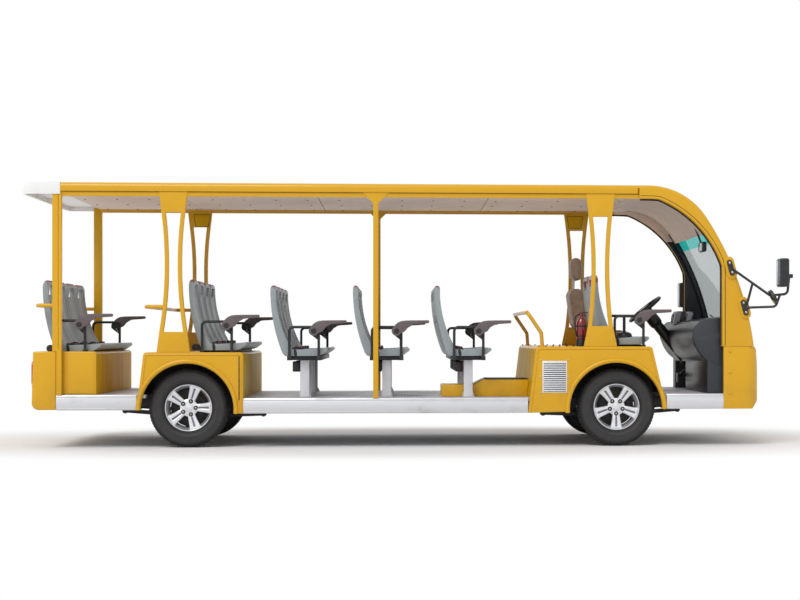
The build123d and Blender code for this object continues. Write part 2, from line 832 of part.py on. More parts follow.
with BuildPart() as steering_column:
    with BuildSketch(wheel_plane.offset(column_start)):
        Circle(column_radius)
    extrude(amount=column_reach + column_tail)
    with BuildSketch(wheel_plane.offset(shaft_start + swing_gap)):
        Circle(shaft_radius)
    extrude(amount=column_start)
    with BuildSketch(wheel_plane.offset(column_start + stalk_back)):
        with Locations((0, stalk_rise)):
            Rectangle(2 * stalk_length, stalk_width)
    extrude(amount=stalk_thickness)
    add(dashboard.part, mode=Mode.SUBTRACT)

pad_thickness = 16
pad_height = 90
pad_lead = -50  # pad ahead of the kick panel
pedal_arm = 18
pedal_rise = 109  # pad's middle above the deck
arm_rise = 20
pedal_table = [  # offset from the steering column, pad width
    (-110, 70),
    (20, 60),
]

with BuildPart() as pedals:
    for offset, width in pedal_table:
        y = driver_half + offset
        z = end_deck_top + pedal_rise
        with Locations((dash_kick + pad_lead, y, z)):
            Box(pad_thickness, width, pad_height)
        with Locations((dash_kick + (pad_lead + foot_well_depth) / 2, y, z + arm_rise)):
            Box(foot_well_depth - pad_lead, pedal_arm, pedal_arm)

lever_x = front_axle + 207
lever_half = 100  # centre plane to the lever
gaiter_profile = [  # radius, height above the box
    (0, 0), (62, 0), (80, 84), (66, 120), (14, 140), (14, 285), (0, 285),
]
lever_grip = 13
lever_rear = 160  # grip behind the lever
lever_front = 110

with BuildPart() as park_lever:
    with BuildSketch(Plane.XZ.offset(-lever_half)):
        with BuildLine():
            Polyline(*[(lever_x + r, front_box_top + z) for r, z in gaiter_profile], close=True)
        make_face()
    revolve(axis=Axis((lever_x, lever_half, 0), (0, 0, 1)))
    with BuildSketch(Plane.YZ.offset(lever_x - lever_rear)):
        with Locations((lever_half, front_box_top + gaiter_profile[-1][1])):
            Circle(lever_grip)
    extrude(amount=lever_rear + lever_front)

with BuildPart() as cab_controls:
    add(steering_column.part)
    add(pedals.part)
    add(park_lever.part)
save(cab_controls.part, "cab_controls")

# Driver's seat: cushion, back and headrest
driver_width = 480
driver_base_rise = 30
driver_base_top = front_box_top + driver_base_rise
driver_edge = 14
driver_points = [  # X from the front axle, height above the seat's base
    (-215, 0), (-252, 164), (-320, 486), (-312, 524), (-285, 542), (-190, 524),
    (-165, 474), (-100, 110), (60, 98), (225, 112), (262, 80), (235, 0),
]
headrest_points = [  # the same
    (-300, 617), (-249, 597), (-181, 644), (-160, 734), (-190, 809), (-232, 829), (-268, 779),
]
headrest_half = 130
headrest_edge = 22
stem_back = 242
stem_half = 60
stem_radius = 8
stem_rise = 514
stem_length = 120

with BuildPart() as driver_seat:
    with BuildSketch(Plane.XZ.offset(-driver_half - driver_width / 2)):
        with BuildLine():
            Polyline(*[(front_axle + x, driver_base_top + z) for x, z in driver_points], close=True)
        outline = make_face()
        fillet(outline.vertices(), driver_edge)
    extrude(amount=driver_width)
    with BuildSketch(Plane.XZ.offset(-driver_half - headrest_half)):
        with BuildLine():
            Polyline(*[(front_axle + x, driver_base_top + z) for x, z in headrest_points], close=True)
        outline = make_face()
        fillet(outline.vertices(), headrest_edge)
    extrude(amount=2 * headrest_half)
    with BuildSketch(Plane.XY.offset(driver_base_top + stem_rise)):
        with Locations(*[(front_axle - stem_back, driver_half + s * stem_half) for s in sides]):
            Circle(stem_radius)
    extrude(amount=stem_length)
save(driver_seat.part, "driver_seat")

# Fire extinguisher on the front box
bottle_x = front_axle - 307
bottle_y = bar_inset - body_half
bottle_profile = [  # radius, height above the box
    (0, 0), (30, 0), (30, 52), (44, 72), (44, 215), (28, 248), (14, 256), (14, 300), (0, 300),
]

with BuildPart() as extinguisher:
    with BuildSketch(Plane.XZ.offset(-bottle_y)):
        with BuildLine():
            Polyline(*[(bottle_x + r, front_box_top + z) for r, z in bottle_profile], close=True)
        make_face()
    revolve(axis=Axis((bottle_x, bottle_y, 0), (0, 0, 1)))
save(extinguisher.part, "extinguisher")

# Mirrors: a strutted arm with the right head and a small convex one, the left head and the inside one
mirror_stand = 180  # outer edge of a mirror beyond the roof's side
mirror_outer = roof_half + mirror_stand
arm_tube = 11
arm_bend = 40
arm_y = 85 - mirror_outer
bracket_height = 142
bracket_width = 46
bracket_proud = 26
right_head_size = (83, 170, 252)
right_head_x = front_axle + mirror_reach - 128  # rear face
right_head_z = cowl_top + 651
head_edge = 20
knob_radius = 18
knob_z = cowl_top + 622
knob_length = mirror_reach + front_axle - right_head_x - right_head_size[0] / 2
arm_table = [  # X from the front axle, Z from the cowl's top, share of the way out to the mirror
    [(1004, 698, 0), (1337, 450, 1), (1493, 463, 1), (1511, 622, 1)],
    [(1128, 343, 0), (1389, 351, 1), (1427, 455, 1)],
    [(1190, 559, 0.55), (1147, 367, 0.1)],
]
disc_centre = (front_axle + 1353, arm_y, cowl_top + 431)
disc_way = (0.88, 0, 0.47)
disc_radius = 65
disc_thickness = 26
arm_root = -roof_half - bracket_proud / 2

with BuildPart() as right_mirror:
    with Locations((right_head_x + right_head_size[0] / 2, arm_y, right_head_z)):
        Box(*right_head_size)
    fillet(edges(), head_edge)
    with BuildSketch(Plane.YZ.offset(right_head_x + right_head_size[0] / 2)):
        with Locations((arm_y, knob_z)):
            Circle(knob_radius)
    extrude(amount=knob_length)
    for points in arm_table:
        route = [(front_axle + x, arm_root + share * (arm_y - arm_root), cowl_top + z) for x, z, share in points]
        with BuildLine() as path:
            if len(route) > 2:
                FilletPolyline(*route, radius=arm_bend)
            else:
                Polyline(*route)
        with BuildSketch(Plane(origin=path.line @ 0, z_dir=path.line % 0)):
            Circle(arm_tube)
        sweep(path=path.line)
    with BuildSketch(Plane.XZ.offset(roof_half)):
        for x, z, _ in (arm_table[0][0], arm_table[1][0]):
            with Locations(Location((front_axle + x, cowl_top + z), 15)):
                SlotOverall(bracket_height, bracket_width, rotation=90)
    extrude(amount=bracket_proud)
    with BuildSketch(Plane(origin=disc_centre, x_dir=(0, 1, 0), z_dir=disc_way)):
        Circle(disc_radius)
    extrude(amount=disc_thickness)

left_head_size = (70, 150, 250)
left_head_x = front_axle + 940
left_head_z = cowl_top + 507
left_head_y = mirror_outer - left_head_size[1] / 2
left_root = (front_axle + 1000, roof_half + bracket_proud / 2, left_head_z + 20)
left_flange = 32

with BuildPart() as left_mirror:
    with Locations((left_head_x, left_head_y, left_head_z)):
        Box(*left_head_size)
    fillet(edges(), head_edge)
    with BuildLine() as path:
        Polyline((left_head_x + left_head_size[0] / 4, left_head_y, left_head_z), left_root)
    with BuildSketch(Plane(origin=path.line @ 0, z_dir=path.line % 0)):
        Circle(arm_tube)
    sweep(path=path.line)
    with BuildSketch(Plane.XZ.offset(-roof_half - bracket_proud)):
        with Locations((left_root[0], left_root[2])):
            Circle(left_flange)
    extrude(amount=bracket_proud)

inside_size = (42, 190, 92)
inside_x = front_axle + 862
inside_y = -430
inside_z = roof_edge_top - 518
inside_edge = 16
inside_stem = 9
inside_root = (front_axle + 777, inside_y, roof_edge_top - 303)

with BuildPart() as inside_mirror:
    with Locations((inside_x, inside_y, inside_z)):
        Box(*inside_size)
    fillet(edges(), inside_edge)
    with BuildLine() as path:
        Polyline((inside_x, inside_y, inside_z), inside_root)
    with BuildSketch(Plane(origin=path.line @ 0, z_dir=path.line % 0)):
        Circle(inside_stem)
    sweep(path=path.line)
    add(screen_frame.part, mode=Mode.SUBTRACT)

with BuildPart() as mirrors:
    for unit in (right_mirror, left_mirror, inside_mirror):
        add(unit.part)
save(mirrors.part, "mirrors")

# Lamps, shaped to the cowl and the tail
lamp_rise = 308  # lamps' middle above the sills' underside
lamp_depth = 37
lamp_proud = 12
front_lamp_inset = 285
front_lamp_size = (250, 130)
front_lamp_corner = 40
rear_lamp_inset = 125
rear_lamp_size = (120, 230)
rear_lamp_corner = 30

with BuildPart() as front_lamps:
    with BuildSketch(Plane.YZ.offset(cowl_front + lamp_proud)):
        with Locations(*[(s * (body_half - front_lamp_inset), low_end + lamp_rise) for s in sides]):
            RectangleRounded(*front_lamp_size, front_lamp_corner)
    extrude(amount=-lamp_depth)
    add(front_cowl.part, mode=Mode.SUBTRACT)
save(front_lamps.part, "front_lamps")

with BuildPart() as rear_lamps:
    with BuildSketch(Plane.YZ.offset(at(tail_rear_station) - lamp_proud)):
        with Locations(*[(s * (body_half - rear_lamp_inset), low_end + lamp_rise) for s in sides]):
            RectangleRounded(*rear_lamp_size, rear_lamp_corner)
    extrude(amount=lamp_depth)
    add(tail_box.part, mode=Mode.SUBTRACT)
save(rear_lamps.part, "rear_lamps")

# Moulded seats: one shell, drawn in towards its top, set out in rows
back_top = 555  # above the cushion
back_waist = 0.4 * back_top
back_shell = 45
back_crest = 16
hip = (105, -40)
heel = (130, -cushion_depth)
seat_bend = (190, -12)
seat_middle = (330, -12)
toe_back = 24
toe_rise = 26
lip_back = 28
lip_rise = 2
top_narrowing = 18  # each side of the back at its top
top_corner = 55
hand_hole_width = 230
hand_hole_height = 66
hand_hole_corner = 30
hand_hole_drop = 70  # hole's middle below the top of the back

with BuildPart() as seat:
    with BuildSketch(Plane.XZ.offset(-seat_width / 2)):
        with BuildLine():
            toe = (seat_length - 2, toe_rise - cushion_depth)
            lip = (seat_length - lip_back, lip_rise)
            ThreePointArc((0, back_top), (30, back_waist), hip)
            Polyline(hip, heel, (seat_length - toe_back, -cushion_depth), toe)
            ThreePointArc(toe, (seat_length - 3, lip_rise - 16), lip)
            ThreePointArc(lip, seat_middle, seat_bend)
            ThreePointArc(seat_bend, (88, back_waist), (back_shell, back_top))
            ThreePointArc((back_shell, back_top), (back_shell / 2, back_top + back_crest), (0, back_top))
        make_face()
    extrude(amount=seat_width)
    with BuildSketch(Plane.YZ) as seat_front:
        with BuildLine():
            half = seat_width / 2
            crest_z = back_top + back_crest
            Polyline(
                (-half, -cushion_depth), (half, -cushion_depth), (half, cushion_depth),
                (half - top_narrowing, crest_z), (top_narrowing - half, crest_z), (-half, cushion_depth), close=True,
            )
        make_face()
        fillet(seat_front.vertices().group_by(Axis.Y)[-1], top_corner)
    extrude(amount=seat_length, mode=Mode.INTERSECT)
    with BuildSketch(Plane.YZ):
        with Locations((0, back_top - hand_hole_drop)):
            RectangleRounded(hand_hole_width, hand_hole_height, hand_hole_corner)
    extrude(amount=seat_length / 2, mode=Mode.SUBTRACT)

full_row = (-1.5, -0.5, 0.5, 1.5)
half_row = (-1.5, -0.5)
floor_seat_top = mid_deck_top + floor_seat_rise
row_table = [  # name, pivot X, cushion lead, cushion top, surface below, seat centres in pitches, guard sides
    ("1", row_1_pivot, box_lead, tail_top + box_seat_rise, tail_top, full_row, sides),
    ("2", row_2_pivot, box_lead, rear_box_top + box_seat_rise, rear_box_top, full_row, sides),
    ("front", front_row_pivot, floor_lead, front_box_top + box_seat_rise, front_box_top, half_row, (-1,)),
    ("3", row_3_pivot, floor_lead, floor_seat_top, mid_deck_top, full_row, sides),
    ("4", row_4_pivot, floor_lead, floor_seat_top, mid_deck_top, full_row, sides),
    ("5", row_5_pivot, floor_lead, floor_seat_top, mid_deck_top, full_row, sides),
]
box_rows = row_table[:3]
floor_rows = row_table[3:]

for name, rows in (("box_row_seats", box_rows), ("pedestal_row_seats", floor_rows)):
    with BuildPart() as seat_rows:
        for _, pivot, lead, top, _, centres, _ in rows:
            with Locations(*[(pivot + lead - seat_length, c * seat_pitch, top) for c in centres]):
                add(seat.part)
    save(seat_rows.part, name)

# Black frames under the cushions, and the driver's seat base
frame_tube = 40
frame_bar = 60
loop_length = 258
loop_lead = 43  # front leg ahead of the guard pivot
frame_rear = loop_lead - loop_length
frame_middle = loop_lead - loop_length / 2
frame_half = loop_half + loop_tube_radius
driver_base_size = (380, 340)
driver_base_lead = 10

with BuildPart() as seat_frames:
    for _, pivot, _, top, below, _, guard_sides in row_table:
        depth = min(frame_tube, top - cushion_depth - below)
        high = frame_half if len(guard_sides) == 2 else frame_tube - frame_half + 2 * seat_pitch
        bars = [s * half for half in (pedestal_inner, pedestal_outer) for s in guard_sides]
        with BuildSketch(Plane.XY.offset(top - cushion_depth - depth)):
            for x in (frame_rear, loop_lead):
                with Locations((pivot + x, (high - frame_half) / 2)):
                    Rectangle(frame_tube, high + frame_half)
            for y in bars:
                with Locations((pivot + frame_middle, y)):
                    Rectangle(loop_length, frame_bar)
        extrude(amount=depth)
    with BuildSketch(Plane.XY.offset(front_box_top)):
        with Locations((front_axle + driver_base_lead, driver_half)):
            Rectangle(*driver_base_size)
    extrude(amount=driver_base_rise)
save(seat_frames.part, "seat_frames")

# Pedestals under the floor rows, on flat feet
pedestal_size = (80, 50)
foot_size = (114, 84)
foot_thickness = 10

with BuildPart() as pedestals:
    for _, pivot, _, top, below, _, guard_sides in floor_rows:
        spots = [(pivot + frame_middle, s * half) for half in (pedestal_inner, pedestal_outer) for s in guard_sides]
        with BuildSketch(Plane.XY.offset(below)):
            with Locations(*spots):
                Rectangle(*foot_size)
        extrude(amount=foot_thickness)
        with BuildSketch(Plane.XY.offset(below)):
            with Locations(*spots):
                Rectangle(*pedestal_size)
        extrude(amount=top - cushion_depth - frame_tube - below)
save(pedestals.part, "pedestals")

# Armrest loops with a plate and a pin for each guard
loop_rise = 46  # top of the loop above the guard pivot
loop_bend = 38
plate_back = 8
plate_size = (69, 12, 44)
pin_radius = 10
pin_reach = 32

with BuildPart() as armrest_frames:
    for _, pivot, _, top, _, _, guard_sides in row_table:
        seat_z = top - cushion_depth
        pin_z = top + pivot_above_cushion
        bar_z = pin_z + loop_rise - loop_tube_radius
        for side in guard_sides:
            y = side * loop_half
            with BuildLine() as path:
                FilletPolyline(
                    (pivot + frame_rear, y, seat_z),
                    (pivot + frame_rear, y, bar_z),
                    (pivot + loop_lead, y, bar_z),
                    (pivot + loop_lead, y, seat_z),
                    radius=loop_bend,
                )
            with BuildSketch(Plane(origin=path.line @ 0, x_dir=(1, 1, 0), z_dir=path.line % 0)):
                Circle(loop_tube_radius)
            sweep(path=path.line)
            with Locations((pivot + loop_lead / 2 - plate_back, y, pin_z)):
                Box(*plate_size)
            with BuildSketch(Plane.XZ.offset(-y)):
                with Locations((pivot, pin_z)):
                    Circle(pin_radius)
            extrude(amount=-side * pin_reach)
save(armrest_frames.part, "armrest_frames")

# Swing-up side guards, one piece each
guard_inner = loop_half + loop_tube_radius + swing_gap
guard_hub_radius = 43
guard_width = 34
guard_points = [  # X and Z from the pivot
    (-30, 28), (15, 62), (65, 79), (285, 88), (292, 80), (285, 72), (150, 58), (105, 32), (75, -5), (43, -20), (0, 0),
]
side_names = {-1: "right", 1: "left"}

for row_name, pivot, _, top, _, _, guard_sides in row_table:
    pin_z = top + pivot_above_cushion
    for side in guard_sides:
        with BuildPart() as guard:
            with BuildSketch(Plane.XZ.offset(-side * guard_inner)):
                with Locations((pivot, pin_z)):
                    Circle(guard_hub_radius)
                with BuildLine():
                    Polyline(*[(pivot + x, pin_z + z) for x, z in guard_points], close=True)
                make_face()
            extrude(amount=-side * guard_width)
            with BuildSketch(Plane.XZ.offset(-side * guard_inner)):
                with Locations((pivot, pin_z)):
                    Circle(pin_radius + running_gap)
            extrude(amount=-side * (pin_reach - loop_tube_radius), mode=Mode.SUBTRACT)
        save(guard.part, f"guard_{row_name}_{side_names[side]}")

# Rear axle with its drums, spindles and the drive motor
spring_width = 60
spring_thickness = 34
spring_centre_z = 268
spring_seat_gap = 2
spring_pad_size = (110, 60, 32)
spring_pad_z = spring_centre_z + spring_thickness / 2 + spring_seat_gap + spring_pad_size[2] / 2
axle_tube_radius = 45
drum_radius = 140
drum_back = 107  # inner face of a rear drum, inwards of the wheel's centre plane
drum_face = 32  # outer face of a drum, inwards of the same plane
spindle_radius = 20
spindle_lead = 28  # spindle's end beyond the same plane
gearbox_radius = 135
motor_radius = 112
motor_length = 420
drum_inner = wheel_half - drum_back
drum_outer = wheel_half - drum_face
spindle_end = wheel_half + spindle_lead

with BuildPart() as rear_axle_unit:
    with BuildSketch(Plane.XZ):
        with Locations((rear_axle, hub_height)):
            Circle(axle_tube_radius)
    extrude(amount=drum_inner, both=True)
    with Locations((rear_axle, 0, hub_height)):
        Sphere(gearbox_radius)
    with BuildSketch(Plane.YZ.offset(rear_axle)):
        with Locations((0, hub_height)):
            Circle(motor_radius)
    extrude(amount=motor_length)
    for side in sides:
        for radius, outer in ((drum_radius, drum_outer), (spindle_radius, spindle_end)):
            with BuildSketch(Plane.XZ.offset(side * drum_inner)):
                with Locations((rear_axle, hub_height)):
                    Circle(radius)
            extrude(amount=side * (outer - drum_inner))
        with Locations((rear_axle, side * rail_half, spring_pad_z)):
            Box(*spring_pad_size)
save(rear_axle_unit.part, "rear_axle")

# Front axle beam with a boss for each kingpin
beam_size = (56, 60)
boss_radius = 32
boss_half = 45
kingpin_radius = 14

with BuildPart() as front_axle_beam:
    with Locations((front_axle, 0, hub_height)):
        Box(beam_size[0], 2 * kingpin_half, beam_size[1])
    with BuildSketch(Plane.XY.offset(hub_height - boss_half)):
        with Locations((front_axle, -kingpin_half), (front_axle, kingpin_half)):
            Circle(boss_radius)
    extrude(amount=2 * boss_half)
    with Locations(*[(front_axle, s * rail_half, spring_pad_z) for s in sides]):
        Box(*spring_pad_size)
    with BuildSketch(Plane.XY):
        with Locations((front_axle, -kingpin_half), (front_axle, kingpin_half)):
            Circle(kingpin_radius + running_gap)
    extrude(amount=2 * hub_height, mode=Mode.SUBTRACT)
save(front_axle_beam.part, "front_axle")

# Steered knuckles: a yoke round the boss, the kingpin, a drum, the spindle and a straight arm behind
lug_depth = 25
lug_radius = 30
yoke_plate = 14
steer_arm = 150
steer_arm_root = 24  # half width at the kingpin
steer_arm_tip = 18  # half width at the rod's eye
arm_depth = 20
arm_drop = 4
rod_pin_radius = 8
rod_eye_half = 12
yoke_inner = kingpin_half + boss_radius + swing_gap
front_drum_inner = yoke_inner + yoke_plate
lug_start = boss_half + swing_gap
yoke_half = lug_start + lug_depth
arm_top = hub_height + yoke_half - arm_drop
rod_z = arm_top - arm_depth - swing_gap - rod_eye_half
rod_x = front_axle - steer_arm

for side in sides:
    with BuildPart() as knuckle:
        for z in (hub_height + lug_start, hub_height - yoke_half):
            with BuildSketch(Plane.XY.offset(z)):
                with Locations((front_axle, side * kingpin_half)):
                    Circle(lug_radius)
                with Locations((front_axle, side * (kingpin_half + front_drum_inner) / 2)):
                    Rectangle(2 * lug_radius, front_drum_inner - kingpin_half)
            extrude(amount=lug_depth)
        with Locations((front_axle, side * (yoke_inner + yoke_plate / 2), hub_height)):
            Box(2 * lug_radius, yoke_plate, 2 * yoke_half)
        with BuildSketch(Plane.XY.offset(hub_height - yoke_half)):
            with Locations((front_axle, side * kingpin_half)):
                Circle(kingpin_radius)
        extrude(amount=2 * yoke_half)
        for radius, outer in ((drum_radius, drum_outer), (spindle_radius, spindle_end)):
            with BuildSketch(Plane.XZ.offset(-side * front_drum_inner)):
                with Locations((front_axle, hub_height)):
                    Circle(radius)
            extrude(amount=-side * (outer - front_drum_inner))
        with BuildSketch(Plane.XY.offset(arm_top - arm_depth)):
            with BuildLine():
                Polyline(
                    (front_axle, side * kingpin_half - steer_arm_root),
                    (front_axle, side * kingpin_half + steer_arm_root),
                    (rod_x - steer_arm_tip, side * kingpin_half + steer_arm_tip),
                    (rod_x - steer_arm_tip, side * kingpin_half - steer_arm_tip),
                    close=True,
                )
            make_face()
        extrude(amount=arm_depth)
        with BuildSketch(Plane.XY.offset(rod_z - rod_eye_half)):
            with Locations((rod_x, side * kingpin_half)):
                Circle(rod_pin_radius)
        extrude(amount=arm_top - rod_z)
    save(knuckle.part, f"knuckle_{side_names[side]}")

# Tie rod between the steering arms
rod_radius = 11
rod_eye_radius = 20
rod_eye_lap = 10

with BuildPart() as tie_rod:
    with BuildSketch(Plane.XZ):
        with Locations((rod_x, rod_z)):
            Circle(rod_radius)
    extrude(amount=kingpin_half - rod_eye_lap, both=True)
    with BuildSketch(Plane.XY.offset(rod_z - rod_eye_half)):
        with Locations((rod_x, -kingpin_half), (rod_x, kingpin_half)):
            Circle(rod_eye_radius)
    extrude(amount=2 * rod_eye_half)
    with BuildSketch(Plane.XY.offset(rod_z - rod_eye_half)):
        with Locations((rod_x, -kingpin_half), (rod_x, kingpin_half)):
            Circle(rod_pin_radius + running_gap)
    extrude(amount=2 * rod_eye_half, mode=Mode.SUBTRACT)
save(tie_rod.part, "tie_rod")

# Leaf springs with their eyes and hangers
spring_span = 1240
spring_eye_radius = 26
spring_eye_drop = 30  # eye's middle below its rail
hanger_width = 36
mid_rail_bottom = mid_rail_top - rail_depth
end_rail_bottom = end_rail_top - rail_depth
spring_table = [  # axle X, rail underside above the rear eye, above the front eye
    (rear_axle, end_rail_bottom, mid_rail_bottom),
    (front_axle, mid_rail_bottom, end_rail_bottom),
]

with BuildPart() as leaf_springs:
    for axle, rear_rail, front_rail in spring_table:
        rear_eye = (axle - spring_span / 2, rear_rail - spring_eye_drop)
        front_eye = (axle + spring_span / 2, front_rail - spring_eye_drop)
        half = spring_thickness / 2
        with BuildSketch(Plane.XZ.offset(rail_half - spring_width / 2)):
            with BuildLine():
                for shift in (half, -half):
                    ThreePointArc(
                        (rear_eye[0], rear_eye[1] + shift),
                        (axle, spring_centre_z + shift),
                        (front_eye[0], front_eye[1] + shift),
                    )
                for x, z in (rear_eye, front_eye):
                    Line((x, z + half), (x, z - half))
            make_face()
            with Locations(rear_eye, front_eye):
                Circle(spring_eye_radius)
            with Locations(*[(x, z + spring_eye_drop / 2) for x, z in (rear_eye, front_eye)]):
                Rectangle(hanger_width, spring_eye_drop)
        extrude(amount=spring_width)
    mirror(about=Plane.XZ)
save(leaf_springs.part, "leaf_springs")

# Wheels: spoked rims, and tyres with flat facets so that they stand still
rim_flange_radius = 207
rim_half = 75
rim_profile = [  # radius, outward distance from the wheel's centre plane
    (rim_flange_radius, -rim_half), (rim_flange_radius, 9 - rim_half), (192, -60), (184, -30), (184, 30), (192, 58),
    (rim_flange_radius, rim_half - 9), (rim_flange_radius, rim_half), (188, rim_half), (174, 40), (174, -rim_half),
]
hub_radius = 70
hub_back = -20  # inner face of the hub, from the wheel's centre plane
hub_face = 48
bore_lead = 6  # bore's end beyond the spindle's
spoke_count = 5
spoke_back = 26
spoke_front = 56
spoke_outline = [  # distance from the axle, distance from the middle of a double spoke
    (50, 4), (180, 8), (180, 50), (50, 30),
]
tyre_facets = 64
bead_half = 72
tyre_inner = rim_flange_radius + seam
tyre_crown_half = 68
wall_radius = 272
shoulder_radius = 334
shoulder_half = 86
corner_share = 1 / cos(pi / tyre_facets)  # corner of a facet, per distance to its middle
facet_turn = 180 / tyre_facets
tyre_bands = [  # radius, outward distance from the wheel's centre plane
    (wall_radius, -tyre_width / 2), (shoulder_radius, -shoulder_half), (hub_height, -tyre_crown_half),
    (hub_height, tyre_crown_half), (shoulder_radius, shoulder_half), (wall_radius, tyre_width / 2),
]
wheel_table = [  # name, axle X, side, angle of the first spoke
    ("front_right", front_axle, -1, -90),
    ("front_left", front_axle, 1, 40),
    ("rear_right", rear_axle, -1, 0),
    ("rear_left", rear_axle, 1, 75),
]

for name, axle, side, first_angle in wheel_table:
    centre = Vector(axle, side * wheel_half, hub_height)
    profile_plane = Plane(origin=centre, x_dir=(1, 0, 0), z_dir=(0, 0, side))
    face_plane = Plane(origin=centre, x_dir=(-side, 0, 0), z_dir=(0, side, 0))
    with BuildPart() as rim:
        with BuildSketch(profile_plane):
            with BuildLine():
                Polyline(*rim_profile, close=True)
            make_face()
        revolve(axis=Axis(centre, (0, side, 0)))
        with BuildSketch(face_plane.offset(hub_back)):
            Circle(hub_radius)
        extrude(amount=hub_face - hub_back)
        with BuildSketch(face_plane.offset(spoke_back)):
            for i in range(spoke_count):
                with Locations(Location((0, 0, 0), (0, 0, first_angle + i * 360 / spoke_count))):
                    for lane in sides:
                        Polygon(*[(r, lane * w) for r, w in spoke_outline], align=None)
        extrude(amount=spoke_front - spoke_back)
        with BuildSketch(face_plane.offset(hub_back)):
            Circle(spindle_radius + running_gap)
        extrude(amount=spindle_lead + bore_lead - hub_back, mode=Mode.SUBTRACT)
    save(rim.part, f"rim_{name}")
    with BuildPart() as tyre:
        for radius, offset in tyre_bands:
            with BuildSketch(face_plane.offset(offset)):
                RegularPolygon(radius * corner_share, tyre_facets, rotation=facet_turn)
        loft(ruled=True)
        for end in sides:
            for radius, offset in ((tyre_inner, bead_half), (wall_radius, tyre_width / 2)):
                with BuildSketch(face_plane.offset(end * offset)):
                    RegularPolygon(radius * corner_share, tyre_facets, rotation=facet_turn)
            loft(ruled=True, mode=Mode.SUBTRACT)
        with BuildSketch(face_plane.offset(-bead_half)):
            RegularPolygon(tyre_inner * corner_share, tyre_facets, rotation=facet_turn)
        extrude(amount=2 * bead_half, mode=Mode.SUBTRACT)
    save(tyre.part, f"tyre_{name}")

# Traction battery on the deck's tongue inside the front box
battery_half = cavity_half - 100
battery_height = 380
battery_rear = front_box_rear + 105

with BuildPart() as battery:
    with BuildSketch(Plane.XY.offset(mid_deck_top)):
        with Locations(((battery_rear + tongue_front) / 2, 0)):
            Rectangle(tongue_front - battery_rear, 2 * battery_half)
    extrude(amount=battery_height)
save(battery.part, "battery")
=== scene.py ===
"""Dresses an open electric sightseeing bus: wheels, seats, cab, trim, finishes and studio."""

import json
from contextlib import contextmanager
from math import atan2, cos, pi, radians, sin, sqrt

import bmesh
import bpy
from bpy.props import FloatProperty, FloatVectorProperty, IntProperty, PointerProperty
from mathutils import Matrix, Vector

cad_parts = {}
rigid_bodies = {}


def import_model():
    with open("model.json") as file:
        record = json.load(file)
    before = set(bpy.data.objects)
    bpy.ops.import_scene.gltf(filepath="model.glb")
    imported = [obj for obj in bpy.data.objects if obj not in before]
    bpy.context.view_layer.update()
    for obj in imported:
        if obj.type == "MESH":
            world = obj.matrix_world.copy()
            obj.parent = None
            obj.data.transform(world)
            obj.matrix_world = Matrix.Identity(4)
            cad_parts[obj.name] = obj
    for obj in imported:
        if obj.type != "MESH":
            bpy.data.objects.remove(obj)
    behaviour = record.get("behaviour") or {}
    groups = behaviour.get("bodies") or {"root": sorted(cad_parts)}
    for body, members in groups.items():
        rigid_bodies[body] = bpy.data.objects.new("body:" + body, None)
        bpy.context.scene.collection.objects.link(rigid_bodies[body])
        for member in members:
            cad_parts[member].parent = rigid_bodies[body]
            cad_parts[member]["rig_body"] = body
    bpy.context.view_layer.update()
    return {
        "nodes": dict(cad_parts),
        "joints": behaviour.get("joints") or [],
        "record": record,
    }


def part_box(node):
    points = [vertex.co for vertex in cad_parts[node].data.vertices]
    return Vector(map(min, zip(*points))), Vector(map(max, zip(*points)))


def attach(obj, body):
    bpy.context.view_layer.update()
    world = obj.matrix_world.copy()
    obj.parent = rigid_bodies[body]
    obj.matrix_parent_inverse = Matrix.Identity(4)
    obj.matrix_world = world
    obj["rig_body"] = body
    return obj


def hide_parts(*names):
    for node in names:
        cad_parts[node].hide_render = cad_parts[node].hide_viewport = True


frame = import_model()

bl_info = {
    "name": "Sightseeing bus dressing",
    "version": (1, 0, 0),
    "blender": (4, 5, 0),
    "location": "View3D > Sidebar > Bus",
    "description": "Adds the wheels, seats, cab fittings, trim and finishes of an open sightseeing bus",
    "category": "Object",
}

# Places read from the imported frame

joints = {joint["name"]: joint for joint in frame["joints"]}
holes = {hole["name"]: hole["box_m"] for hole in frame["record"]["physics"]["openings"]}
AXLE_X = joints["steer_left"]["pos_m"][0]
ROOF_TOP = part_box("screen_frame")[1].z
COWL_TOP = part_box("front_cowl")[1].z
BODY_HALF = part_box("front_cowl")[1].y
ROOF_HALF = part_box("screen_frame")[1].y
DECK_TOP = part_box("dashboard")[0].z
FLOOR_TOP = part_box("floor_cover")[0].z
SIDES = {"right": -1, "left": 1}


def linear(hexadecimal):
    """A colour written in the usual six digits, as the renderer counts it."""
    parts = [int(hexadecimal[i:i + 2], 16) / 255 for i in (0, 2, 4)]
    return tuple(p / 12.92 if p <= 0.04045 else ((p + 0.055) / 1.055) ** 2.4 for p in parts)


def shade(colour, share):
    """A colour made darker or lighter by a share."""
    return tuple(min(1, v * share) for v in colour)


def tint(name, description, hexadecimal):
    """A colour that a user may change."""
    return FloatVectorProperty(
        name=name, description=description, subtype="COLOR", size=3, min=0, max=1, default=linear(hexadecimal)
    )


def length(name, description, metres):
    """A size that a user may change."""
    return FloatProperty(
        name=name, description=description, unit="LENGTH", subtype="DISTANCE", default=metres
    )


# Settings

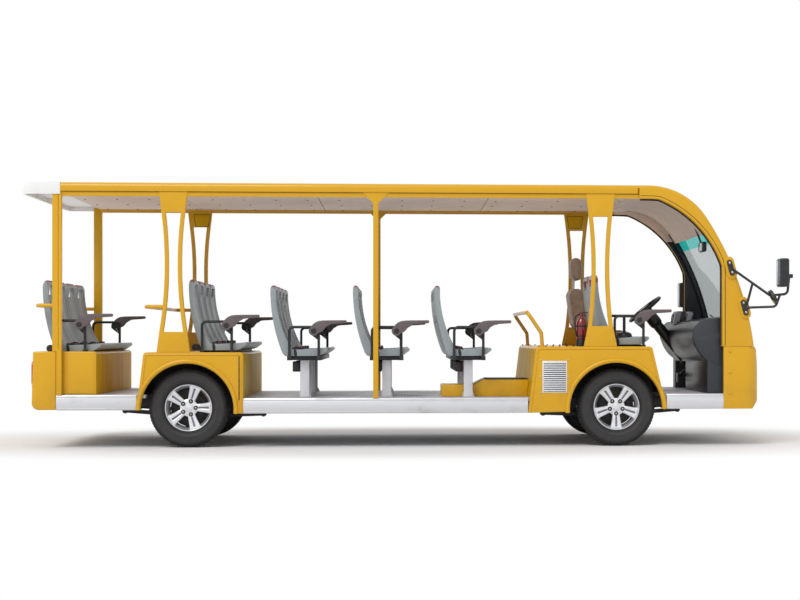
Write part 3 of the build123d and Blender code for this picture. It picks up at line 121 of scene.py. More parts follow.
class BusColours(bpy.types.PropertyGroup):
    """Colours of the finishes."""

    body: tint("Body", "Gold-yellow gloss of the panels, posts and roof", "dba61a")
    shell: tint("Seat shell", "Blue-grey moulded seats", "8f979a")
    grip: tint("Seat grip", "Dull red cap along the top of each seat", "8c4a4c")
    liner: tint("Ceiling liner", "Beige liner under the canopy", "f0ddd0")
    guard: tint("Guard", "Warm grey of the swing-up guards", "5f5456")
    cover: tint("Driver's cover", "Beige leatherette of the driver's seat", "a9927f")
    dash: tint("Dashboard", "Dark grey moulded dashboard", "2c2e36")
    sill: tint("Sill", "Pale anodised sills", "d9dade")
    floor: tint("Floor", "Grey studded floor", "dadae2")
    screen_band: tint("Screen band", "Teal sun band along the top of the screen", "2fb3ad")
    rubber: tint("Rubber", "Dark grey tyres", "2b2a2c")
    alloy: tint("Alloy", "Silver of the rims", "e0e1e6")


class BusWheels(bpy.types.PropertyGroup):
    """Sizes of the tyres and rims."""

    groove_depth: length("Groove depth", "Depth of the tread grooves round the tyre", 0.008)
    cut_depth: length("Cut depth", "Depth of the cuts across the tread shoulders", 0.006)
    tread_steps: IntProperty(name="Tread steps", description="Faces round a tyre", default=144, min=36)
    arm_count: IntProperty(name="Arms", description="Double arms of a rim", default=5, min=3)
    arm_thickness: length("Arm thickness", "Depth of a rim's arms", 0.026)
    lug_circle: length("Lug circle", "Distance of the lug nuts from the axle", 0.060)


class BusSeats(bpy.types.PropertyGroup):
    """Sizes of the moulded seats and their belts."""

    bolster: length("Bolster", "How far the seat's sides stand above its dished middle", 0.014)
    flute: length("Flute", "Depth of the moulded lines down the back", 0.007)
    edge: length("Edge", "Rounding of the shell's edges", 0.009)
    belt_width: length("Belt width", "Width of the lap belts", 0.046)


class BusStage(bpy.types.PropertyGroup):
    """Camera and light."""

    eye: FloatVectorProperty(
        name="Eye", description="Camera place", subtype="XYZ", unit="LENGTH", default=(-0.123, -15.185, 0.979)
    )
    turn: FloatProperty(
        name="Turn", description="Camera turn towards the front", subtype="ANGLE", default=radians(3.4)
    )
    lens: FloatProperty(name="Lens", description="Focal length in millimetres", default=72.6)
    shift: FloatVectorProperty(
        name="Shift", description="Lens shift of the framing", size=2, default=(-0.116, 0.045)
    )
    sun: FloatProperty(name="Key light", description="Strength of the soft key light", default=1.5)
    sky: FloatProperty(name="Fill light", description="Strength of the even fill light", default=0.70)


# Modelling helpers

def select_only(piece):
    """Makes one object the only selected and active one."""
    bpy.ops.object.select_all(action="DESELECT")
    piece.select_set(True)
    bpy.context.view_layer.objects.active = piece


def begin(name, add, **settings):
    """Adds a primitive with nothing else selected, names it and settles its place into its mesh."""
    bpy.ops.object.select_all(action="DESELECT")
    add(**settings)
    piece = bpy.context.object
    piece.name = name
    piece.data.name = name
    bpy.ops.object.transform_apply(location=True, rotation=True, scale=True)
    return piece


@contextmanager
def shaping(piece, kind="FACE"):
    """Edit mode on one piece, with faces, edges or points as what is selected."""
    select_only(piece)
    bpy.ops.object.mode_set(mode="EDIT")
    bpy.ops.mesh.select_mode(type=kind)
    yield bmesh.from_edit_mesh(piece.data)
    bpy.ops.object.mode_set(mode="OBJECT")


def pick(piece, test):
    """Selects in edit mode the faces that pass a test of their place and normal."""
    bpy.ops.mesh.select_all(action="DESELECT")
    shape = bmesh.from_edit_mesh(piece.data)
    for face in shape.faces:
        face.select_set(bool(test(face.calc_center_median(), face.normal)))
    shape.select_flush_mode()
    bmesh.update_edit_mesh(piece.data)


def pull(way):
    """Extrudes what is selected along a vector."""
    bpy.ops.mesh.extrude_region_move(TRANSFORM_OT_translate={"value": tuple(way)})


def tidy_mesh(gap=1e-5):
    """Closes seams in edit mode and turns the faces outwards."""
    bpy.ops.mesh.select_all(action="SELECT")
    bpy.ops.mesh.remove_doubles(threshold=gap)
    bpy.ops.mesh.normals_make_consistent(inside=False)


def apply(piece, kind, **settings):
    """Adds a modifier, sets it up and applies it."""
    select_only(piece)
    modifier = piece.modifiers.new(kind.title(), kind)
    for key, value in settings.items():
        setattr(modifier, key, value)
    bpy.ops.object.modifier_apply(modifier=modifier.name)


def round_edges(piece, width, segments=2, angle=40):
    """Bevels the edges of a piece that are sharper than an angle."""
    apply(piece, "BEVEL", width=width, segments=segments, limit_method="ANGLE", angle_limit=radians(angle))


def smooth(piece, angle=38):
    """Smooth shading across all but the sharp edges."""
    select_only(piece)
    bpy.ops.object.shade_smooth_by_angle(angle=radians(angle))


def gather(name, pieces):
    """Joins pieces into one."""
    bpy.ops.object.select_all(action="DESELECT")
    for piece in pieces:
        piece.select_set(True)
    bpy.context.view_layer.objects.active = pieces[0]
    bpy.ops.object.join()
    pieces[0].name = name
    pieces[0].data.name = name
    return pieces[0]


def copied(piece, name, place):
    """A copy of a piece with its own mesh, moved by a matrix."""
    copy = bpy.data.objects.new(name, piece.data.copy())
    copy.data.transform(place)
    if place.determinant() < 0:
        copy.data.flip_normals()
    bpy.context.scene.collection.objects.link(copy)
    return copy


def repeated(piece, name, places):
    """Copies of a piece at several places, joined as one. The first piece is used up."""
    copies = [copied(piece, name, place) for place in places]
    bpy.data.objects.remove(piece)
    return gather(name, copies)


def turned(spot, angle, axis):
    """Matrix that turns a piece about an axis and carries it to a spot."""
    return Matrix.Translation(spot) @ Matrix.Rotation(angle, 4, axis)


def moves(points):
    """Matrices that carry the origin to each point."""
    return [Matrix.Translation(point) for point in points]


def block(name, low, high, edge=0.003, segments=2):
    """A box between two corners with rounded edges."""
    size = [b - a for a, b in zip(low, high)]
    middle = [(a + b) / 2 for a, b in zip(low, high)]
    piece = begin(name, bpy.ops.mesh.primitive_cube_add, size=1, location=middle, scale=size)
    round_edges(piece, edge, segments)
    return piece


def side_block(name, side, low, high, edge):
    """A block on one side of the bus, between corners given for its left side."""
    near, far = sorted((side * low[1], side * high[1]))
    return block(name, (low[0], near, low[2]), (high[0], far, high[2]), edge)


def wire(name, points):
    """A chain of edges, drawn by extruding one point."""
    points = [Vector(point) for point in points]
    piece = begin(name, bpy.ops.mesh.primitive_plane_add, size=0.001, location=points[0])
    with shaping(piece, "VERT"):
        bpy.ops.mesh.select_all(action="SELECT")
        bpy.ops.mesh.merge(type="CENTER")
        for a, b in zip(points, points[1:]):
            pull(b - a)
    return piece


def plate(name, points, thickness, edge=0.0):
    """A flat outline, filled and pulled out by a vector."""
    piece = wire(name, [*points, points[0]])
    with shaping(piece, "EDGE"):
        bpy.ops.mesh.select_all(action="SELECT")
        bpy.ops.mesh.remove_doubles(threshold=1e-5)
        bpy.ops.mesh.edge_face_add()
        pull(thickness)
        tidy_mesh()
    if edge:
        round_edges(piece, edge)
    return piece


def lathe(name, profile, steps):
    """A profile of (radius, height) pairs spun about Z."""
    piece = wire(name, [(radius, 0, height) for radius, height in profile])
    with shaping(piece, "EDGE"):
        bpy.ops.mesh.select_all(action="SELECT")
        bpy.ops.mesh.spin(steps=steps, angle=2 * pi, center=(0, 0, 0), axis=(0, 0, 1))
        tidy_mesh()
    return piece


def tube(name, points, radius, closed=False, resolution=2):
    """A round bar along a smooth line."""
    bpy.ops.object.select_all(action="DESELECT")
    bpy.ops.curve.primitive_nurbs_path_add()
    bar = bpy.context.object
    bar.name = name
    bar.data.splines.clear()
    line = bar.data.splines.new("NURBS")
    line.points.add(len(points) - 1)
    for control, point in zip(line.points, points):
        control.co = (*point, 1)
    line.order_u = 3
    line.use_endpoint_u = not closed
    line.use_cyclic_u = closed
    line.resolution_u = 4
    bar.data.bevel_depth = radius
    bar.data.bevel_resolution = resolution
    bar.data.use_fill_caps = not closed
    bpy.ops.object.convert(target="MESH")
    return bpy.context.object


def ribbon(name, points, width, thickness):
    """A flat band: a line pulled sideways by a vector and given a thickness."""
    piece = wire(name, points)
    with shaping(piece, "EDGE"):
        bpy.ops.mesh.select_all(action="SELECT")
        pull(width)
    apply(piece, "SOLIDIFY", thickness=thickness, offset=0)
    return piece


def arc(a, b, c, steps):
    """Points along the circle through three points of a plane, ends included."""
    ax, ay, bx, by, cx, cy = *a, *b, *c
    d = 2 * (ax * (by - cy) + bx * (cy - ay) + cx * (ay - by))
    ux = ((ax**2 + ay**2) * (by - cy) + (bx**2 + by**2) * (cy - ay) + (cx**2 + cy**2) * (ay - by)) / d
    uy = ((ax**2 + ay**2) * (cx - bx) + (bx**2 + by**2) * (ax - cx) + (cx**2 + cy**2) * (bx - ax)) / d
    radius = sqrt((ax - ux) ** 2 + (ay - uy) ** 2)
    first, middle, last = (atan2(y - uy, x - ux) for x, y in (a, b, c))
    while middle - first > pi:
        middle -= 2 * pi
    while middle - first < -pi:
        middle += 2 * pi
    while last - middle > pi:
        last -= 2 * pi
    while last - middle < -pi:
        last += 2 * pi
    turns = [first + (last - first) * i / steps for i in range(steps + 1)]
    return [(ux + radius * cos(t), uy + radius * sin(t)) for t in turns]


def done(piece, body, finish_name, angle=38):
    """Shades a finished piece, gives it its finish and lets it ride on a body."""
    smooth(piece, angle)
    piece.data.materials.clear()
    piece.data.materials.append(finish(finish_name))
    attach(piece, body)
    return piece


def joined(name, pieces, finish_name, angle=38):
    """Pieces joined as one, finished and fixed to the bus."""
    return done(gather(name, pieces), "body", finish_name, angle)


def set_out(piece, name, places, finish_name):
    """Copies of a piece at several places, joined as one, finished and fixed to the bus."""
    return done(repeated(piece, name, places), "body", finish_name)


# Shader helpers

class Value:
    """A socket of a material, so that shader maths reads as plain sums."""

    def __init__(self, graph, socket):
        self.graph = graph
        self.socket = socket

    def math(self, operation, first, second):
        return self.graph.node("ShaderNodeMath", {"operation": operation}, {0: first, 1: second})

    def __add__(self, other):
        return self.math("ADD", self, other)

    def __radd__(self, other):
        return self.math("ADD", other, self)

    def __sub__(self, other):
        return self.math("SUBTRACT", self, other)

    def __rsub__(self, other):
        return self.math("SUBTRACT", other, self)

    def __mul__(self, other):
        return self.math("MULTIPLY", self, other)

    def __rmul__(self, other):
        return self.math("MULTIPLY", other, self)


class Graph:
    """A material being wired on Object coordinates."""

    def __init__(self, name):
        self.material = bpy.data.materials.new(name)
        self.material.use_nodes = True
        self.tree = self.material.node_tree
        self.shader = self.tree.nodes["Principled BSDF"]
        self.place = self.node("ShaderNodeTexCoord", {}, {}, "Object")

    def node(self, kind, settings, inputs, output=0):
        """Adds a node, its settings first, then the values or links of its sockets."""
        made = self.tree.nodes.new(kind)
        for key, value in settings.items():
            setattr(made, key, value)
        for key, value in inputs.items():
            self.feed(made.inputs[key], value)
        return Value(self, made.outputs[output])

    def feed(self, socket, value):
        if isinstance(value, Value):
            self.tree.links.new(value.socket, socket)
        else:
            socket.default_value = (*value, 1) if socket.type == "RGBA" and len(value) == 3 else value

    def noise(self, scale, detail=2.0, stretch=(1, 1, 1)):
        """Cloudy pattern from 0 to 1."""
        where = self.node("ShaderNodeMapping", {}, {"Vector": self.place, "Scale": stretch})
        return self.node("ShaderNodeTexNoise", {}, {"Vector": where, "Scale": scale, "Detail": detail}, "Fac")

    def cells(self, scale):
        """Distance pattern of scattered cells."""
        return self.node("ShaderNodeTexVoronoi", {}, {"Vector": self.place, "Scale": scale}, "Distance")

    def waves(self, direction, scale):
        """Even bands along a direction, from 0 to 1."""
        inputs = {"Vector": self.place, "Scale": scale}
        return self.node("ShaderNodeTexWave", {"bands_direction": direction}, inputs, "Fac")

    def studs(self, pitch):
        """Round studs on a level grid, 1 in their middles."""
        swing = {"operation": "PINGPONG"}
        along, across = (
            self.node("ShaderNodeMath", swing, {0: self.axis(name), 1: pitch / 2}) * (2 / pitch)
            for name in ("X", "Y")
        )
        return along * across

    def axis(self, name):
        """One coordinate of the surface in metres."""
        return self.node("ShaderNodeSeparateXYZ", {}, {"Vector": self.place}, name)

    def ramp(self, value, low, high, bottom=0.0, top=1.0):
        """Maps a value from one span to another, clamped."""
        spans = {"Value": value, "From Min": low, "From Max": high, "To Min": bottom, "To Max": top}
        return self.node("ShaderNodeMapRange", {"interpolation_type": "SMOOTHSTEP"}, spans)

    def mix(self, factor, first, second):
        """Blends two colours."""
        return self.node("ShaderNodeMix", {"data_type": "RGBA"}, {0: factor, 6: first, 7: second}, 2)

    def bump(self, height, distance, strength=1.0):
        """Relief for the shader's normal."""
        sockets = {"Height": height, "Distance": distance, "Strength": strength}
        self.surface(Normal=self.node("ShaderNodeBump", {}, sockets))

    def surface(self, **sockets):
        """Sets the shader's sockets, named with underscores for spaces."""
        for key, value in sockets.items():
            self.feed(self.shader.inputs[key.replace("_", " ")], value)


# Finishes

def body_paint(g, c):
    """Gloss gold-yellow paint with orange peel, and dust towards the road."""
    cloud = g.noise(2.2, 3)
    dust = g.ramp(g.axis("Z"), 0.75, 0.33) * g.ramp(g.noise(7, 4), 0.35, 0.75)
    paint = g.mix(cloud, c.body, shade(c.body, 0.9))
    g.surface(
        Base_Color=g.mix(dust * 0.22, paint, linear("8d7440")),
        Roughness=0.26 + dust * 0.25 + cloud * 0.08,
    )
    g.surface(Coat_Weight=0.14, Coat_Roughness=0.12, Specular_IOR_Level=0.3)
    g.bump(g.noise(140, 2), 0.0004, 0.5)


def panel_paint(g, c):
    """Body paint of the inner walls, made a little darker as painted shade, with low gloss and wipe streaks.
    """
    streak = g.ramp(g.noise(9, 4, (1, 1, 0.15)), 0.4, 0.8)
    # painted shade: the body colour darkened a little, most in its red
    satin = tuple(v * share for v, share in zip(c.body, (0.90, 0.98, 0.98)))
    g.surface(Base_Color=g.mix(streak * 0.5, satin, shade(satin, 0.7)), Roughness=0.45 + streak * 0.15)
    g.surface(Specular_IOR_Level=0.06)
    g.bump(g.noise(140, 2), 0.0004, 0.5)


def groove_paint(g, c):
    """Body paint darkened to brown as painted shade in the bottom of a groove, with settled dirt."""
    dirt = g.ramp(g.noise(24, 4), 0.35, 0.75)
    # painted shade: the body colour at a third of its brightness
    groove_shade = shade(c.body, 0.34)
    g.surface(Base_Color=g.mix(dirt * 0.6, groove_shade, shade(groove_shade, 0.4)), Roughness=0.55 + dirt * 0.25)
    g.bump(g.noise(140, 2), 0.0004, 0.5)


def white_shell(g, c):
    """White gelcoat with faint streaks."""
    streak = g.ramp(g.noise(5, 4, (1, 1, 0.2)), 0.45, 0.8)
    g.surface(
        Base_Color=g.mix(streak * 0.35, linear("eeeeee"), linear("c4c2ba")),
        Roughness=0.34 + streak * 0.2,
    )
    g.surface(Coat_Weight=0.3, Coat_Roughness=0.2)
    g.bump(g.noise(90, 2), 0.0005, 0.4)


def ceiling_liner(g, c):
    """Beige foam-backed liner with a fine grain and soft stains."""
    stain = g.ramp(g.noise(1.6, 4), 0.4, 0.8)
    grain = g.cells(420)
    g.surface(Base_Color=g.mix(stain * 0.5, c.liner, shade(c.liner, 0.78)), Roughness=0.72 + grain * 0.15)
    g.bump(grain, 0.0007, 0.6)


def screen_glass(g, c):
    """Clear screen with a teal sun band along its top."""
    band = g.ramp(g.axis("Z"), 1.818, 1.832)
    g.surface(Base_Color=g.mix(band, linear("b4baba"), c.screen_band), Roughness=0.02 + g.noise(30) * 0.03)
    g.surface(Transmission_Weight=1.0, IOR=1.08)


def dark_trim(g, c):
    """Dark moulded plastic with a leather-like grain and scuffs."""
    grain = g.cells(330)
    scuff = g.ramp(g.noise(9, 5, (0.3, 1, 1)), 0.55, 0.8)
    g.surface(Base_Color=g.mix(scuff * 0.35, c.dash, linear("5d5e60")), Roughness=0.42 + scuff * 0.2)
    g.bump(grain, 0.0006, 0.5)


def dash_gloss(g, c):
    """Glossy near-black fascia with faint wipe marks."""
    wipe = g.ramp(g.noise(7, 5, (1, 0.2, 1)), 0.45, 0.8)
    g.surface(Base_Color=g.mix(wipe * 0.3, linear("202124"), linear("3a3631")), Roughness=0.30 + wipe * 0.14)
    g.surface(Specular_IOR_Level=0.08)
    g.bump(g.noise(60, 3), 0.0006, 0.35)


def black_plastic(g, c):
    """Black plastic with a satin grain."""
    grain = g.cells(520)
    wear = g.ramp(g.noise(14, 4), 0.5, 0.85)
    g.surface(Base_Color=g.mix(wear * 0.4, linear("1e1f22"), linear("3d3e42")), Roughness=0.38 + wear * 0.2)
    g.bump(grain, 0.0004, 0.5)


def driver_cover(g, c):
    """Beige leatherette with creases and a pebbled grain."""
    pebble = g.cells(260)
    crease = g.ramp(g.noise(22, 5), 0.45, 0.7)
    g.surface(Base_Color=g.mix(crease * 0.5, c.cover, shade(c.cover, 0.66)), Roughness=0.46 + pebble * 0.2)
    g.bump(pebble + crease * 0.6, 0.0012, 0.7)


def red_paint(g, c):
    """Gloss red enamel with small chips."""
    chip = g.ramp(g.noise(70, 4), 0.68, 0.72)
    g.surface(Base_Color=g.mix(chip * 0.7, linear("7a0b14"), linear("4a2320")), Roughness=0.22 + chip * 0.4)
    g.surface(Coat_Weight=0.5, Coat_Roughness=0.08)
    g.bump(g.noise(160), 0.0003, 0.4)


def lamp_lens(g, c):
    """Clear ribbed lamp cover."""
    ribs = g.waves("Y", 22.0)
    g.surface(
        Base_Color=g.mix(g.noise(20) * 0.2, linear("ffffff"), linear("dfe6ea")),
        Roughness=0.04 + ribs * 0.02,
    )
    g.surface(Transmission_Weight=0.92, IOR=1.25)
    g.bump(ribs, 0.001, 0.3)


def red_lens(g, c):
    """Red ribbed lamp cover with a pale reversing band."""
    pale = g.ramp(g.axis("Z"), 0.562, 0.568, 1.0, 0.0)
    ribs = g.waves("Z", 26.0)
    cells = g.cells(160)
    red = g.mix(cells * 0.5, linear("c4101a"), linear("6d0a10"))
    g.surface(Base_Color=g.mix(pale, red, linear("f0e6dc")), Roughness=0.12 + ribs * 0.05, Coat_Weight=0.6)
    g.bump(ribs, 0.001, 0.4)


def seat_shell(g, c):
    """Blue-grey moulded plastic with fine pores and rubbed places."""
    rub = g.ramp(g.noise(6, 4), 0.4, 0.8)
    pores = g.cells(480)
    lit = shade(c.shell, 1.12)
    g.surface(Base_Color=g.mix(rub * 0.6, c.shell, lit), Roughness=0.36 + rub * 0.14 + pores * 0.06)
    g.bump(pores, 0.0005, 0.5)


def seat_grip(g, c):
    """Dull red soft cap."""
    rub = g.ramp(g.noise(30, 3), 0.4, 0.8)
    g.surface(Base_Color=g.mix(rub * 0.5, c.grip, linear("a97576")), Roughness=0.5 + rub * 0.15)
    g.bump(g.cells(500), 0.0004, 0.5)


def black_steel(g, c):
    """Black powder coat with worn bright flecks."""
    fleck = g.ramp(g.noise(85, 4), 0.7, 0.76)
    g.surface(
        Base_Color=g.mix(fleck * 0.5, linear("1b1c20"), linear("77777a")),
        Roughness=0.4 + g.noise(40) * 0.15,
    )
    g.surface(Metallic=fleck * 0.6)
    g.bump(g.noise(420, 2), 0.0004, 0.6)


def silver_paint(g, c):
    """Pale silver powder coat."""
    cloud = g.ramp(g.noise(8, 4), 0.4, 0.8)
    g.surface(Base_Color=g.mix(cloud * 0.5, linear("c6c6ca"), linear("a7a7ab")), Roughness=0.4 + cloud * 0.12)
    g.surface(Metallic=0.25 + cloud * 0.1)
    g.bump(g.noise(350, 2), 0.0003, 0.5)


def sill_metal(g, c):
    """Pale anodised extrusion, drawn lengthways, with scuffs from shoes."""
    draw = g.noise(220, 3, (0.01, 1, 1))
    scuff = g.ramp(g.noise(10, 5, (0.4, 1, 1)), 0.55, 0.8)
    bright = g.mix(draw * 0.5, c.sill, shade(c.sill, 0.82))
    g.surface(Base_Color=g.mix(scuff * 0.35, bright, linear("9a9690")), Roughness=0.36 + scuff * 0.2)
    g.surface(Metallic=0.35 + draw * 0.1)
    g.bump(draw, 0.0003, 0.5)


def floor_plate(g, c):
    """Grey floor with round studs, lighter on their tops and darker between them, and cloudy dirt."""
    stud = g.ramp(g.studs(0.026), 0.42, 0.6)
    dirt = g.ramp(g.noise(3.5, 5), 0.4, 0.75)
    top = g.mix(stud, shade(c.floor, 0.72), shade(c.floor, 1.15))
    g.surface(Base_Color=g.mix(dirt * 0.25, top, linear("857d72")), Roughness=0.45 + dirt * 0.2)
    g.surface(Metallic=0.10 + stud * 0.1)
    g.bump(stud, 0.002, 0.9)


def cast_black(g, c):
    """Rough black castings with road dust."""
    dust = g.ramp(g.noise(6, 5), 0.42, 0.75)
    g.surface(Base_Color=g.mix(dust * 0.5, linear("232324"), linear("5d564c")), Roughness=0.6 + dust * 0.2)
    g.bump(g.noise(150, 4), 0.0015, 0.7)


def battery_case(g, c):
    """Dark blue-grey battery case with moulded bands."""
    bands = g.waves("Y", 3.0)
    g.surface(Base_Color=g.mix(bands * 0.3, linear("2d3238"), linear("454b52")), Roughness=0.5 + bands * 0.1)
    g.bump(bands, 0.002, 0.4)


def vent_metal(g, c):
    """Bright pressed aluminium."""
    draw = g.noise(260, 3, (0.02, 1, 1))
    g.surface(Base_Color=g.mix(draw * 0.5, linear("f2f3f6"), linear("c9cbd0")), Roughness=0.32 + draw * 0.12)
    g.surface(Metallic=0.3 + draw * 0.1)
    g.bump(draw, 0.0003, 0.5)


def guard_pad(g, c):
    """Warm grey moulded guard with a soft leather-like grain."""
    pebble = g.cells(300)
    rub = g.ramp(g.noise(12, 4), 0.45, 0.8)
    g.surface(Base_Color=g.mix(rub * 0.5, c.guard, shade(c.guard, 1.3)), Roughness=0.48 + pebble * 0.15)
    g.bump(pebble, 0.0008, 0.6)


def rim_metal(g, c):
    """Silver lacquered alloy with brake dust towards the hub side."""
    cloud = g.noise(25, 3)
    dust = g.ramp(g.noise(40, 4), 0.5, 0.8)
    g.surface(
        Base_Color=g.mix(dust * 0.3, c.alloy, linear("8b8782")),
        Roughness=0.28 + cloud * 0.1 + dust * 0.1,
    )
    g.surface(Metallic=0.72 + cloud * 0.1, Coat_Weight=0.35, Coat_Roughness=0.1)
    g.bump(g.noise(240), 0.0003, 0.4)


def rim_shadow(g, c):
    """Painted shade in the grooves of the arms: a dull darker grey lacquer, with dust."""
    dust = g.ramp(g.noise(40, 4), 0.4, 0.8)
    g.surface(Base_Color=g.mix(dust * 0.5, linear("919196"), linear("6c6a68")), Roughness=0.5 + dust * 0.2)
    g.surface(Metallic=0.35 + dust * 0.1)
    g.bump(g.noise(240), 0.0003, 0.4)


def tyre_rubber(g, c):
    """Dark grey rubber, dusty where it meets the road."""
    dust = g.ramp(g.noise(9, 5), 0.4, 0.8)
    g.surface(Base_Color=g.mix(dust * 0.45, c.rubber, linear("4a4643")), Roughness=0.66 + dust * 0.18)
    g.bump(g.noise(300, 3), 0.0008, 0.6)


def tread_rubber(g, c):
    """Darker rubber of the tread, its shoulders and the bead."""
    dust = g.ramp(g.noise(14, 5), 0.45, 0.8)
    dark = shade(c.rubber, 0.45)
    g.surface(Base_Color=g.mix(dust * 0.35, dark, linear("3a3735")), Roughness=0.7 + dust * 0.15)
    g.bump(g.noise(300, 3), 0.0008, 0.6)


def mirror_face(g, c):
    """Silvered mirror with a faint haze."""
    haze = g.ramp(g.noise(12, 4), 0.5, 0.85)
    g.surface(Base_Color=g.mix(haze * 0.3, linear("8b9296"), linear("6b7275")), Metallic=1.0 - haze * 0.1)
    g.surface(Roughness=0.03 + haze * 0.08)


def bright_steel(g, c):
    """Zinc-plated fasteners."""
    cloud = g.noise(160, 3)
    g.surface(Base_Color=g.mix(cloud, linear("c9c7c0"), linear("8e8a80")), Roughness=0.3 + cloud * 0.2)
    g.surface(Metallic=0.8 + cloud * 0.1)
    g.bump(cloud, 0.0003, 0.5)


def belt_web(g, c):
    """Black woven webbing."""
    weave = g.waves("DIAGONAL", 260.0)
    g.surface(Base_Color=g.mix(weave * 0.5, linear("18181a"), linear("3a3a3d")), Roughness=0.7 + weave * 0.1)
    g.bump(weave, 0.0006, 0.7)


def seal_rubber(g, c):
    """Black seal rubber with chalky edges."""
    chalk = g.ramp(g.noise(18, 4), 0.5, 0.8)
    g.surface(Base_Color=g.mix(chalk * 0.4, linear("161617"), linear("3c3b3a")), Roughness=0.6 + chalk * 0.2)
    g.bump(g.noise(200), 0.0005, 0.5)


def switch_grey(g, c):
    """Light grey control boxes."""
    cloud = g.noise(20, 3)
    g.surface(Base_Color=g.mix(cloud, linear("a7abb0"), linear("8b8f95")), Roughness=0.4 + cloud * 0.15)
    g.bump(g.cells(500), 0.0004, 0.5)


def reflector(g, c):
    """Bright lamp bowl with flutes."""
    flute = g.waves("Z", 14.0)
    g.surface(Base_Color=g.mix(flute * 0.3, linear("e8ebee"), linear("aab0b6")), Metallic=0.95 - flute * 0.1)
    g.surface(Roughness=0.12 + flute * 0.1)
    g.bump(flute, 0.001, 0.4)


FINISHES = {
    recipe.__name__: recipe
    for recipe in (
        body_paint, panel_paint, groove_paint, white_shell, ceiling_liner, screen_glass, dark_trim,
        dash_gloss, black_plastic, driver_cover, red_paint, lamp_lens, red_lens, seat_shell, seat_grip,
        black_steel, silver_paint, sill_metal, floor_plate, cast_black, battery_case, vent_metal, guard_pad,
        rim_metal, rim_shadow, tyre_rubber, tread_rubber, mirror_face, bright_steel, belt_web, seal_rubber,
        switch_grey, reflector,
    )
}


def finish(name):
    """The material of a finish, made once. The frame's own plain materials keep the bare names."""
    title = f"bus_{name}"
    if title not in bpy.data.materials:
        FINISHES[name](Graph(title), bpy.context.scene.bus_colours)
    return bpy.data.materials[title]


# Carried-over pieces

ROUNDED = {  # node: edge rounding in metres
    "tail_box": 0.012, "bench_box": 0.008, "rear_wheel_box": 0.010, "front_wheel_box": 0.010,
    "front_cowl": 0.008, "posts": 0.004, "arched_pillars": 0.006, "rear_visor": 0.012, "roof_panel": 0.004,
    "floor_cover": 0.008, "dashboard": 0.004, "pedestals": 0.004, "seat_frames": 0.004, "side_sills": 0.003,
    "extinguisher": 0.004, "ceiling_panels": 0.002, "cab_controls": 0.004, "roof_beams": 0.003,
    "chassis_rails": 0.006, "screen_frame": 0.004,
}
SWOLLEN = {"grab_rails": 0.003}  # node: paint and sleeve thickness in metres
CROWNED = {"roof_panel": 0.034}  # node: rounding along its upper sides in metres
WELL_RADIUS = 0.470
WELL_INNER = 0.520  # distance of a wheel well's inner wall from the bus's middle
MERGE = 0.00005  # distance within which a carried-over mesh's points become one
ARCHES = {  # wheel box: axle, the arch's centre behind and below it, radius, the box's leans and low edges
    "rear_wheel_box": {"axle": "wheel_rear_right_spin", "back": 0.0, "drop": 0.012, "radius": 0.403,
                       "leans": (0.060, 0.0), "lows": (0.332, 0.300)},
    "front_wheel_box": {"axle": "wheel_front_right_spin", "back": 0.016, "drop": 0.017, "radius": 0.412,
                        "leans": (0.071, 0.131), "lows": (0.300, 0.332)},
}


